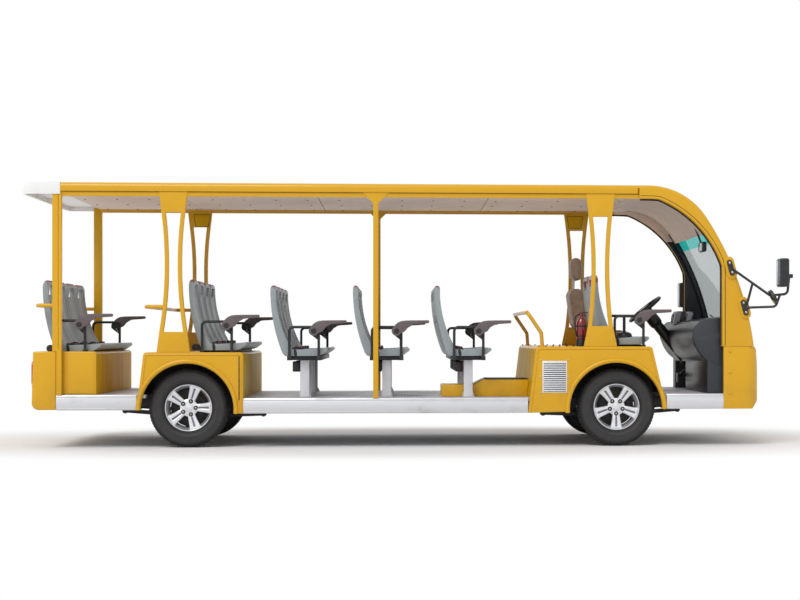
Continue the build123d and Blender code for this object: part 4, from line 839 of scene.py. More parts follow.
class BUS_OT_dress_frame(bpy.types.Operator):
    """Give every carried-over piece its finish, and soft edges to the panels"""

    bl_idname = "bus.dress_frame"
    bl_label = "Dress frame"

    def execute(self, context):
        slots = {part["node"]: part["material_slot"] for part in frame["record"]["subparts"]}
        for name, node in frame["nodes"].items():
            node.data.materials.clear()
            node.data.materials.append(finish(slots[name]))
            rounding = ROUNDED.get(name, 0.004 if name.startswith("guard_") else None)
            if rounding:
                self.soften(name, node, rounding, slots[name])
            if name in SWOLLEN:
                self.swell(name, node, SWOLLEN[name], slots[name])
        return {"FINISHED"}

    def swell(self, name, node, thickness, slot):
        """A merged copy of a node, thicker all round, shown in its place."""
        skin = copied(node, f"{name}_sleeve", Matrix())
        select_only(skin)
        bpy.ops.mesh.customdata_custom_splitnormals_clear()
        with shaping(skin, "VERT"):
            tidy_mesh(MERGE)
        apply(skin, "DISPLACE", strength=thickness, mid_level=0)
        done(skin, node["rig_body"], slot)
        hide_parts(name)

    def soften(self, name, node, rounding, slot):
        """A merged copy of a node with rounded edges, shown in its place."""
        skin = copied(node, f"{name}_skin", Matrix())
        select_only(skin)
        bpy.ops.mesh.customdata_custom_splitnormals_clear()
        with shaping(skin, "VERT"):
            bpy.ops.mesh.select_all(action="SELECT")
            bpy.ops.mesh.remove_doubles(threshold=MERGE)
            bpy.ops.mesh.dissolve_limited(angle_limit=radians(0.5))
        if name in CROWNED:
            self.crown(skin, CROWNED[name])
        round_edges(skin, rounding, 3, 32)
        done(skin, node["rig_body"], slot)
        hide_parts(name)
        # painted shade on the walls that look along the bus
        if name in ARCHES or name == "bench_box":
            self.satin_walls(skin)
        if name in ARCHES:
            self.blacken_wells(skin, ARCHES[name])

    def crown(self, skin, radius):
        """Rounds the long edges where a side meets the top or the front."""
        with shaping(skin, "EDGE") as shape:
            bpy.ops.mesh.select_all(action="DESELECT")
            for edge in shape.edges:
                normals = [face.normal for face in edge.link_faces]
                side = any(abs(n.y) > 0.95 for n in normals)
                edge.select_set(side and any(n.x + n.z > 0.3 and abs(n.y) < 0.6 for n in normals))
            bmesh.update_edit_mesh(skin.data)
            bpy.ops.mesh.bevel(offset=radius, segments=6, affect="EDGES")

    def satin_walls(self, skin):
        """Darker, low-gloss paint on the faces that look along the bus, as painted shade."""
        skin.data.materials.append(finish("panel_paint"))
        for face in skin.data.polygons:
            if abs(face.normal.x) > 0.95 and abs(face.center.y) < BODY_HALF - 0.02:
                face.material_index = 1

    def blacken_wells(self, skin, arch):
        """Black underseal on the faces inside the wheel wells."""
        skin.data.materials.append(finish("seal_rubber"))
        black = len(skin.data.materials) - 1
        axle = Vector(joints[arch["axle"]]["pos_m"])
        for face in skin.data.polygons:
            away = Vector((face.center.x - axle.x, face.center.z - axle.z)).length
            if away < WELL_RADIUS + 0.005 and WELL_INNER - 0.005 < abs(face.center.y) < BODY_HALF - 0.035:
                face.material_index = black


# Wheels

def wheel_place(name, first_arm):
    """Matrix from a wheel modelled with its axle on Z and its outside up, to its place on the bus."""
    centre = Vector(joints[f"{name}_spin"]["pos_m"])
    outward = -1 if centre.y < 0 else 1
    turn = Matrix(((-outward, 0, 0), (0, 0, outward), (0, 1, 0))).to_4x4()
    return Matrix.Translation(centre) @ turn @ Matrix.Rotation(first_arm, 4, "Z")


PLAIN_WALL = (0.226, 0.312)  # radii between the bead and the tread's shoulder
SHOULDER_CUTS = 0.325  # radius from which the cuts run
ARM_START, ARM_REACH = 0.040, 0.152  # of a rim's arm, from the axle
WHEELS = {  # body: angle of its first arm
    "wheel_front_right": radians(-90),
    "wheel_front_left": radians(40),
    "wheel_rear_right": radians(0),
    "wheel_rear_left": radians(75),
}


class BUS_OT_add_tyres(bpy.types.Operator):
    """Add road tyres with grooves, shoulder cuts and sidewall ribs"""

    bl_idname = "bus.add_tyres"
    bl_label = "Tyres"

    def execute(self, context):
        wheels = context.scene.bus_wheels
        radius = (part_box("tyre_front_right")[1].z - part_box("tyre_front_right")[0].z) / 2
        floor = radius - wheels.groove_depth
        half = [  # radius, distance from the wheel's middle
            (0.2075, 0.0700), (0.2150, 0.0790), (0.2300, 0.0875), (0.2480, 0.0935), (0.2515, 0.0960),
            (0.2590, 0.0965), (0.2630, 0.0950), (0.2850, 0.0955), (0.3100, 0.0925), (0.3220, 0.0880),
            (0.3320, 0.0840), (0.3395, 0.0790), (radius - 0.0030, 0.0710), (radius - 0.0015, 0.0500),
            (floor, 0.0480), (floor, 0.0410), (radius - 0.0008, 0.0390), (radius - 0.0003, 0.0190),
            (floor, 0.0170), (floor, 0.0100), (radius, 0.0080),
        ]
        section = [*half, *[(r, -w) for r, w in reversed(half)], half[0]]
        tyre = lathe("tyre", section, wheels.tread_steps)
        step = 2 * pi / wheels.tread_steps

        def spot(p):
            return p.xy.length, int((atan2(p.y, p.x) + pi) / step)

        def shoulder(p, n):
            r, i = spot(p)
            return r > SHOULDER_CUTS and 0.049 < abs(p.z) < 0.087 and i % 2 == (0 if p.z > 0 else 1)

        def rib(p, n):
            r, i = spot(p)
            return r > radius - 0.004 and abs(p.z) < 0.038 and i % 4 == (0 if abs(p.z) < 0.009 else 2)

        with shaping(tyre):
            pick(tyre, shoulder)
            bpy.ops.mesh.inset(thickness=0.0016, depth=-wheels.cut_depth, use_individual=False)
            pick(tyre, rib)
            bpy.ops.mesh.inset(thickness=0.0052, depth=-wheels.cut_depth / 2, use_individual=False)
        inner, outer = PLAIN_WALL
        tread = [face.index for face in tyre.data.polygons if not inner < face.center.xy.length < outer]
        for body, angle in WHEELS.items():
            node = body.replace("wheel", "tyre")
            copy = copied(tyre, f"{node}_road", wheel_place(body, angle))
            done(copy, body, "tyre_rubber", angle=30)
            copy.data.materials.append(finish("tread_rubber"))
            for index in tread:
                copy.data.polygons[index].material_index = 1
            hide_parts(node)
        bpy.data.objects.remove(tyre)
        return {"FINISHED"}


class BUS_OT_add_rims(bpy.types.Operator):
    """Add alloy rims with five double arms, lug nuts and a bare cap"""

    bl_idname = "bus.add_rims"
    bl_label = "Rims"

    def execute(self, context):
        wheels = context.scene.bus_wheels
        count = wheels.arm_count
        turns = [Matrix.Rotation(2 * pi * i / count, 4, "Z") for i in range(count)]
        arms = repeated(self.arm(wheels.arm_thickness), "arms", turns)
        barrel = lathe("barrel", (
            (0.2062, 0.0660), (0.2070, 0.0735), (0.2035, 0.0765), (0.1985, 0.0755), (0.1950, 0.0690),
            (0.1880, 0.0560), (0.1790, 0.0400), (0.1750, 0.0100), (0.1750, -0.0600), (0.1960, -0.0720),
            (0.2070, -0.0735), (0.2062, -0.0660), (0.1850, -0.0300), (0.1850, 0.0300), (0.2062, 0.0660),
        ), 72)
        hub = lathe("hub", (
            (0.0, 0.0560), (0.0240, 0.0555), (0.0300, 0.0535), (0.0310, 0.0490), (0.0340, 0.0490),
            (0.0360, 0.0520), (0.0700, 0.0500), (0.0770, 0.0460), (0.0790, 0.0240), (0.0600, -0.0180),
            (0.0205, -0.0200),
        ), 40)
        rim = gather("rim", [barrel, hub, arms])
        grooves = self.groove_faces(rim, count)
        places = [turn @ Matrix.Translation((wheels.lug_circle, 0, 0.0525)) for turn in turns]
        nuts = repeated(self.nut(), "nuts", places)
        # black cups: painted shade in the nuts' pockets
        cups = repeated(self.cup(), "cups", places)
        for body, angle in WHEELS.items():
            place = wheel_place(body, angle)
            node = body.replace("wheel", "rim")
            alloy = done(copied(rim, f"{node}_alloy", place), body, "rim_metal", angle=32)
            # painted shade on the faces in the arms' grooves
            alloy.data.materials.append(finish("rim_shadow"))
            for index in grooves:
                alloy.data.polygons[index].material_index = 1
            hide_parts(node)
            done(copied(nuts, f"{node}_nuts", place), body, "bright_steel", 30)
            done(copied(cups, f"{node}_cups", place), body, "black_steel")
        shield = lathe("shield", [(0.100, -0.058), (0.170, -0.058), (0.170, -0.052), (0.100, -0.052),
                                  (0.100, -0.058)], 48)
        carriers = {"wheel_front_right": "knuckle_right", "wheel_front_left": "knuckle_left"}
        for body in WHEELS:
            piece = copied(shield, body.replace("wheel", "brake_plate"), wheel_place(body, 0))
            done(piece, carriers.get(body, "body"), "cast_black")
        for piece in (rim, nuts, cups, shield):
            bpy.data.objects.remove(piece)
        return {"FINISHED"}

    def arm(self, thickness):
        """One arm along X: two raised legs with a groove between them, widening to the rim."""
        arm = begin("arm", bpy.ops.mesh.primitive_grid_add, x_subdivisions=10, y_subdivisions=7, size=2)
        across = (-1, -0.88, -0.50, -0.20, 0.20, 0.50, 0.88, 1)
        crown = (-0.009, -0.002, 0, -0.001, -0.001, 0, -0.002, -0.009)
        with shaping(arm, "VERT") as shape:
            for point in shape.verts:
                u = (point.co.x + 1) / 2
                column = round((point.co.y + 1) * 3.5)
                half = 0.029 + 0.021 * u + 0.006 * max(0, u - 0.8) * 5
                point.co = (ARM_START + ARM_REACH * u, across[column] * half, self.crest(u) + crown[column])
            bmesh.update_edit_mesh(arm.data)
            bpy.ops.mesh.select_mode(type="FACE")
            pick(arm, lambda p, n: abs(p.y) < 0.003 and 0.066 < p.x < 0.180)
            bpy.ops.mesh.inset(thickness=0.0016, depth=-0.013, use_individual=False)
            bpy.ops.mesh.select_all(action="SELECT")
            pull((0, 0, -thickness))
            tidy_mesh()
        round_edges(arm, 0.0022, 2, 50)
        return arm

    def crest(self, share):
        """Height of an arm's face at a share of its length."""
        return 0.0515 + 0.0175 * share**1.6

    def groove_faces(self, rim, count):
        """The faces in the grooves along the arms."""
        step = 2 * pi / count
        found = []
        for face in rim.data.polygons:
            x, y, z = face.center
            turn = atan2(y, x) - step * round(atan2(y, x) / step)
            reach = sqrt(x**2 + y**2)
            share = (reach * cos(turn) - ARM_START) / ARM_REACH
            if 0.27 < share < 0.95 and abs(reach * sin(turn)) < 0.0105:
                if -0.016 < z - self.crest(share) < -0.0045:
                    found.append(face.index)
        return found

    def nut(self):
        """A hexagon lug nut with a domed end."""
        nut = begin("nut", bpy.ops.mesh.primitive_cylinder_add, vertices=6, radius=0.0095, depth=0.012)
        with shaping(nut):
            pick(nut, lambda p, n: n.z > 0.9)
            bpy.ops.mesh.inset(thickness=0.002, depth=0.003)
            bpy.ops.mesh.inset(thickness=0.003, depth=0.0015)
        return nut

    def cup(self):
        """The pocket around a nut, in black as painted shade."""
        return lathe("cup", [(0.0195, -0.0040), (0.0195, 0.0006), (0.0190, 0.0026), (0.0165, 0.0026),
                             (0.0150, 0.0004), (0.0, 0.0004)], 20)


# Seats

SEAT_ROWS = {"box_row_seats": ("1", "2", "front"), "pedestal_row_seats": ("3", "4", "5")}
BACK_TOP = 0.543  # height of a seat's back above its cushion
GRIP_FOOT = 0.5415  # height from which the back is capped
HOLE_FOOT, HOLE_HEAD = 0.433, 0.515  # heights of the hand hole's edges
HOLE_SPOT = (0.040, 0.485)  # a seat's place: ahead of its hand hole's rear, below its middle
SEAT_SHIFT = {  # row: how far its shells sit ahead of and below the solid ones
    "1": (0.013, 0.018), "2": (0.008, 0.0), "front": (0.0, 0.0),
    "3": (0.018, 0.003), "4": (0.018, 0.003), "5": (0.018, 0.003),
}


def seat_spots(rows):
    """Rear corner of each seat of some rows: X of its back, Y of its middle, Z of its cushion top."""
    spots = []
    for name, (low, high) in holes.items():
        row = name.split("_")[2] if name.startswith("hand_hole_") else None
        if row in rows:
            ahead, below = SEAT_SHIFT[row]
            y, z = (low[1] + high[1]) / 2, (low[2] + high[2]) / 2
            spots.append(Vector((low[0] + HOLE_SPOT[0] + ahead, y, z - HOLE_SPOT[1] - below)))
    return spots


class BUS_OT_add_seats(bpy.types.Operator):
    """Add moulded seats with dished backs, hand holes and red grips"""

    bl_idname = "bus.add_seats"
    bl_label = "Seats"

    def execute(self, context):
        seat = self.shell(context.scene.bus_seats)
        for node, rows in SEAT_ROWS.items():
            copies = [copied(seat, node, place) for place in moves(seat_spots(rows))]
            shells = joined(f"{node}_moulded", copies, "seat_shell", angle=45)
            shells.data.materials.append(finish("seat_grip"))
            tops = [spot.z + GRIP_FOOT for spot in seat_spots(rows)]
            for face in shells.data.polygons:
                face.material_index = int(any(0 < face.center.z - top < 0.03 for top in tops))
            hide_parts(node)
        bpy.data.objects.remove(seat)
        return {"FINISHED"}

    def shell(self, sizes):
        """One seat, with its back at X 0 and its cushion top at Z 0."""
        front = arc((0.045, BACK_TOP), (0.088, 0.217), (0.190, -0.012), 16)
        cushion = arc((0.190, -0.012), (0.330, -0.010), (0.478, 0.000), 9)
        lip = arc((0.478, 0.000), (0.503, -0.008), (0.499, -0.024), 5)
        under = [(0.455, -0.056), (0.425, -0.068), (0.130, -0.070)]
        rear = arc((0.105, -0.040), (0.030, 0.217), (0.0, BACK_TOP), 14)
        crest = arc((0.0, BACK_TOP), (0.0225, 0.559), (0.045, BACK_TOP), 6)
        outline = [*front[:-1], *cushion[:-1], *lip, *under, *rear, *crest[1:]]
        half = 0.2075
        right = (
            half, 0.196, 0.184, 0.170, 0.155, 0.140, 0.108, 0.088, 0.082, 0.076, 0.070, 0.064, 0.034, 0.012,
        )
        columns = (*[-y for y in right], *reversed(right))
        seat = wire("seat", [(x, columns[0], z) for x, z in outline])
        with shaping(seat, "EDGE"):
            bpy.ops.mesh.select_all(action="SELECT")
            bpy.ops.mesh.remove_doubles(threshold=1e-5)
            bpy.ops.mesh.edge_face_add()
            for a, b in zip(columns, columns[1:]):
                pull((0, b - a, 0))
            tidy_mesh()
            for height in (HOLE_HEAD, HOLE_FOOT):
                bpy.ops.mesh.select_all(action="SELECT")
                bpy.ops.mesh.bisect(plane_co=(0, 0, height), plane_no=(0, 0, 1))
            self.dish(seat, sizes)
            bpy.ops.mesh.select_mode(type="FACE")
            pick(seat, lambda p, n: HOLE_FOOT < p.z < HOLE_HEAD and abs(p.y) < 0.108 and abs(n.x) > 0.7)
            bpy.ops.mesh.bridge_edge_loops()
            tidy_mesh()
        round_edges(seat, sizes.edge, 3, 55)
        return seat

    def dish(self, seat, sizes):
        """Sinks the middle of the seating face, draws the back in towards its top and adds the flutes."""
        def fade(value, end, span):
            """1 well before an end, falling to 0 at it over a span."""
            return max(0.0, min(1.0, (end - value) / span))

        shape = bmesh.from_edit_mesh(seat.data)
        for point in shape.verts:
            x, y, z = point.co
            across = abs(y)
            if point.normal.x + 0.6 * point.normal.z > 0.35 and z > -0.02:
                dip = fade(across, 0.186, 0.045)
                ends = fade(z, 0.50, 0.08) * fade(x, 0.445, 0.07)
                groove = sizes.flute * max(0.0, 1 - abs(across - 0.076) / 0.011)
                point.co -= point.normal * (sizes.bolster * dip * dip * (3 - 2 * dip) + groove) * ends
            taper = max(0.0, (z - 0.10) / 0.443)
            point.co.y *= 1 - 0.085 * taper**1.5
            if z > 0.49:
                point.co.z -= 0.030 * max(0.0, (across - 0.120) / 0.0875) ** 2
        bmesh.update_edit_mesh(seat.data)


class BUS_OT_add_belts(bpy.types.Operator):
    """Add lap belts, buckles and belt reels to the seats"""

    bl_idname = "bus.add_belts"
    bl_label = "Belts"

    def execute(self, context):
        width = context.scene.bus_seats.belt_width
        spots = [spot for rows in SEAT_ROWS.values() for spot in seat_spots(rows)]
        band = ribbon("band", [
            (0.205, -0.2105, -0.085), (0.205, -0.2112, -0.010), (0.205, -0.2040, 0.006),
            (0.207, -0.170, 0.003), (0.213, -0.110, -0.012), (0.217, -0.050, -0.014),
            (0.215, -0.005, -0.010), (0.212, 0.030, 0.002),
        ], (width, 0.006, 0), 0.0024)
        apply(band, "SUBSURF", levels=1, render_levels=1)
        tongue = block("tongue", (0.212, 0.026, -0.004), (0.252, 0.062, 0.001), 0.0015)
        buckle = block("buckle", (0.208, 0.050, -0.012), (0.256, 0.112, 0.014), 0.006, 3)
        stalk = tube("stalk", [(0.232, 0.105, 0.0), (0.215, 0.125, 0.006), (0.178, 0.135, -0.002)], 0.007)
        button = block("button", (0.216, 0.0485, 0.0035), (0.248, 0.062, 0.0155), 0.002)
        reel = lathe("reel", [(0.0, -0.024), (0.028, -0.024), (0.032, -0.020), (0.032, 0.020), (0.028, 0.024),
                              (0.0, 0.024)], 24)
        drum = repeated(reel, "drum", [turned((0.052, -0.120, -0.042), -pi / 2, "X")])
        for name, piece, look, slot in (
            ("lap_belts", band, "belt_web", "black_plastic"),
            ("belt_tongues", tongue, "bright_steel", "black_steel"),
            ("belt_buckles", gather("buckles", [buckle, stalk]), "black_plastic", None),
            ("belt_buttons", button, "red_paint", None),
        ):
            set_out(piece, name, moves(spots), look)
        set_out(drum, "belt_reels", moves(seat_spots(SEAT_ROWS["box_row_seats"])), "black_plastic")
        box = block("belt_box", (0.185, -0.030, -0.212), (0.255, 0.030, -0.118), 0.010, 3)
        set_out(box, "belt_boxes", moves(seat_spots(SEAT_ROWS["pedestal_row_seats"])), "black_plastic")
        return {"FINISHED"}


# Driver's seat

PAD_GRAIN = 0.006  # size of a pad's faces
PAD_STEPS = 20  # steps of puffing
PAD_SWELL = 0.012  # furthest that a pad's face puffs out
SEAMS = (-0.115, 0.115)  # places of the sewn channels across a pad
SEAM_HALF, SEAM_DEPTH = 0.012, 0.006  # of a sewn channel


def padded_form(name, low, high, edge, lean):
    """A pad: a rounded block leaning back by an offset at its top, then puffed as cloth."""
    pad = block(name, low, high, edge, 4)
    with shaping(pad, "VERT") as shape:
        for point in shape.verts:
            rise = (point.co.z - low[2]) / (high[2] - low[2])
            point.co.x -= lean * rise
        bmesh.update_edit_mesh(pad.data)
    apply(pad, "REMESH", mode="VOXEL", voxel_size=PAD_GRAIN)
    rest = [point.co.copy() for point in pad.data.vertices]
    cloth = pad.modifiers.new("Cloth", "CLOTH")
    cloth.settings.use_pressure = True
    cloth.settings.uniform_pressure_force = 4
    cloth.settings.effector_weights.gravity = 0
    for number in range(1, PAD_STEPS + 1):
        bpy.context.scene.frame_set(number)
    select_only(pad)
    bpy.ops.object.modifier_apply(modifier=cloth.name)
    bpy.context.scene.frame_set(1)
    for point, start in zip(pad.data.vertices, rest):
        swell = point.co - start
        point.co = start + swell * min(1.0, PAD_SWELL / max(swell.length, 1e-6))
    return pad


class BUS_OT_add_driver_seat(bpy.types.Operator):
    """Add the padded driver's seat: cushion, back and headrest with sewn channels"""

    bl_idname = "bus.add_driver_seat"
    bl_label = "Driver's seat"

    def execute(self, context):
        low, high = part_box("driver_seat")
        middle = (low.y + high.y) / 2
        forms = (  # name, corners, edge, lean, way that its sewn face looks
            ("driver_cushion", (AXLE_X - 0.17, low.y + 0.012, low.z + 0.016),
             (AXLE_X + 0.250, high.y - 0.012, low.z + 0.108), 0.035, 0.0, "z"),
            ("driver_back", (AXLE_X - 0.240, low.y + 0.016, low.z + 0.120),
             (AXLE_X - 0.106, high.y - 0.016, low.z + 0.522), 0.050, 0.058, "x"),
            ("driver_headrest", (AXLE_X - 0.268, middle - 0.122, low.z + 0.602),
             (AXLE_X - 0.160, middle + 0.122, high.z - 0.004), 0.048, 0.010, "x"),
        )
        pads = [self.channelled(padded_form(*form), middle, way) for *form, way in forms]
        for pad, fill in zip(pads, (0.7, 0.7, 0.8)):
            apply(pad, "SMOOTH", factor=0.5, iterations=4)
            done(pad, "body", "driver_cover", angle=80)
            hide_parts("driver_seat")
        line = ((-0.246, 0.48), (-0.242, 0.56), (-0.238, 0.66))
        stems = [tube("stem", [(AXLE_X + x, middle + offset, low.z + z) for x, z in line], 0.007)
                 for offset in (-0.06, 0.06)]
        joined("headrest_stems", stems, "bright_steel")
        return {"FINISHED"}

    def channelled(self, pad, middle, way):
        """Presses two sewn channels into a pad."""
        for point in pad.data.vertices:
            for seam in SEAMS:
                near = abs(point.co.y - middle - seam) / SEAM_HALF
                if near < 1 and getattr(point.normal, way) > 0.3:
                    point.co -= point.normal * SEAM_DEPTH * (1 - near) ** 2
        return pad


# Cab

DOOR_FRONT = AXLE_X + 0.932
DOOR_HEAD = ROOF_TOP - 0.122


def door_arc(steps):
    """Points (X, Z) of the door's front edge as it bends back into its head."""
    return arc((DOOR_FRONT, 1.600), (DOOR_FRONT - 0.233, 1.972), (AXLE_X + 0.354, DOOR_HEAD), steps)


def nose(angle_share, depth):
    """Point (X, Z) on the nose's roof arc, from its start at 0 to its bend at 1, moved in by a depth."""
    reach, drop = 0.520, 0.279
    radius = (reach**2 + drop**2) / (2 * drop)
    turn = angle_share * atan2(reach, radius - drop)
    return AXLE_X + 0.274 + (radius - depth) * sin(turn), ROOF_TOP - radius + (radius - depth) * cos(turn)


def screen_x(height, depth=0.0):
    """X of the nose's face at a height below the bend, moved in by a depth."""
    bend, before = Vector(nose(1, 0)), Vector(nose(0.999, 0))
    foot = Vector((AXLE_X + 1.222, 0.888))
    along = (bend - before).normalized()
    inward = Vector((along.y, -along.x))
    if inward.x > 0:
        inward = -inward
    gap = foot - bend
    radius = gap.length_squared / (2 * gap.dot(inward))
    centre = bend + inward * radius
    return centre.x + sqrt((abs(radius) - depth) ** 2 - (height - centre.y) ** 2)


class BUS_OT_add_cab_trim(bpy.types.Operator):
    """Add the cab's headliner, pillar trims, screen seal and wipers"""

    bl_idname = "bus.add_cab_trim"
    bl_label = "Cab trim"

    def execute(self, context):
        self.liner()
        for name, side in SIDES.items():
            self.pillar_trims(name, side)
        self.seal()
        self.wipers()
        return {"FINISHED"}

    def liner(self):
        """Beige liner under the nose, from the ceiling down to the screen."""
        low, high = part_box("ceiling_panels")
        line = [(high.x - 0.01, low.z - 0.002), (high.x + 0.10, low.z - 0.004)]
        line += [nose(share, 0.085 - 0.045 * share) for share in (0.15, 0.3, 0.45, 0.6, 0.75, 0.9, 1.0)]
        line += [(screen_x(z, 0.040), z) for z in (1.985, 1.945, 1.905)]
        liner = wire("nose_liner", [(x, -0.897, z) for x, z in line])
        with shaping(liner, "EDGE"):
            bpy.ops.mesh.select_all(action="SELECT")
            for _ in range(12):
                pull((0, 0.1495, 0))
            tidy_mesh()
        apply(liner, "SOLIDIFY", thickness=0.004, offset=0)
        done(liner, "body", "ceiling_liner")

    def pillar_trims(self, hand, side):
        """Inner faces of a screen pillar: beige above, black below."""
        back = door_arc(60)
        split = 1.925
        upper = [p for p in back if p[1] > split]
        lower = [p for p in back if p[1] <= split]
        y = side * 0.8995
        face = [nose(share, 0.032) for share in (1.0, 0.8, 0.6, 0.4, 0.2, 0.05)]
        beige = [(screen_x(split, 0.032), split), *face, (AXLE_X + 0.205, ROOF_TOP - 0.115)]
        beige += [*reversed(upper[::4]), lower[-1]]
        black = [(DOOR_FRONT, 1.150), *lower[::4], lower[-1], (lower[-1][0] + 0.02, split)]
        black += [(screen_x(z, 0.034), z) for z in (split, 1.75, 1.6, 1.45, 1.3, 1.15)]
        for name, outline, look in (("beige", beige, "ceiling_liner"), ("black", black, "dark_trim")):
            points = [(x, y, z) for x, z in outline]
            trim = plate(f"pillar_trim_{name}_{hand}", points, (0, -side * 0.006, 0), 0.002)
            done(trim, "body", look)
        heights = [1.10 + 0.9 * i / 16 for i in range(17)]
        returns = [
            ribbon("screen_return", [(screen_x(z, depth), side * y, z) for z in heights], width, thickness)
            for depth, y, width, thickness in (
                (0.044, 0.902, (0.0, -side * 0.046, 0), 0.005), (0.015, 0.877, (-0.036, 0, 0), 0.004),
            )
        ]
        joined(f"screen_return_{hand}", returns, "dark_trim")

    def seal(self):
        """Black rubber bead round the screen."""
        low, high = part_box("windscreen")
        corner = 0.07
        loop = []
        for sy, sz, start in ((1, 1, 0), (-1, 1, 90), (-1, -1, 180), (1, -1, 270)):
            middle = (sy * (high.y - corner), high.z - corner if sz > 0 else low.z + corner)
            for i in range(4):
                turn = radians(start + 30 * i)
                loop.append((middle[0] + corner * cos(turn), middle[1] + corner * sin(turn)))
            if start in (90, 270):
                ends = (high.z - corner, low.z + corner) if start == 90 else (low.z + corner, high.z - corner)
                for i in range(1, 8):
                    loop.append((sy * high.y, ends[0] + (ends[1] - ends[0]) * i / 8))
        seal = tube("screen_seal", [(screen_x(z, 0.006), y, z) for y, z in loop], 0.009, closed=True)
        done(seal, "body", "seal_rubber")

    def wipers(self):
        """Two wipers parked along the foot of the screen."""
        pieces = []
        base = 1.062
        for foot, tip in ((-0.42, 0.22), (0.30, 0.78)):
            at = [(foot + (tip - foot) * t, 1.100 + 0.09 * t) for t in (0, 0.25, 0.5, 0.75, 1)]
            arm = [(screen_x(z) + 0.016 - 0.004 * i, y, z) for i, (y, z) in enumerate(at[:4])]
            arm[0] = (screen_x(base) + 0.004, foot, base)
            pieces.append(tube("wiper_arm", arm, 0.006))
            blade = [(screen_x(z) + 0.004, y, z) for y, z in at[1:]]
            pieces.append(tube("wiper_blade", blade, 0.0055))
            boss = lathe("wiper_boss", [(0, 0.022), (0.014, 0.020), (0.018, 0.0), (0.022, -0.012)], 16)
            place = turned((screen_x(base) - 0.004, foot, base), radians(80), "Y")
            pieces.append(repeated(boss, "wiper_boss", [place]))
        joined("wipers", pieces, "black_plastic")


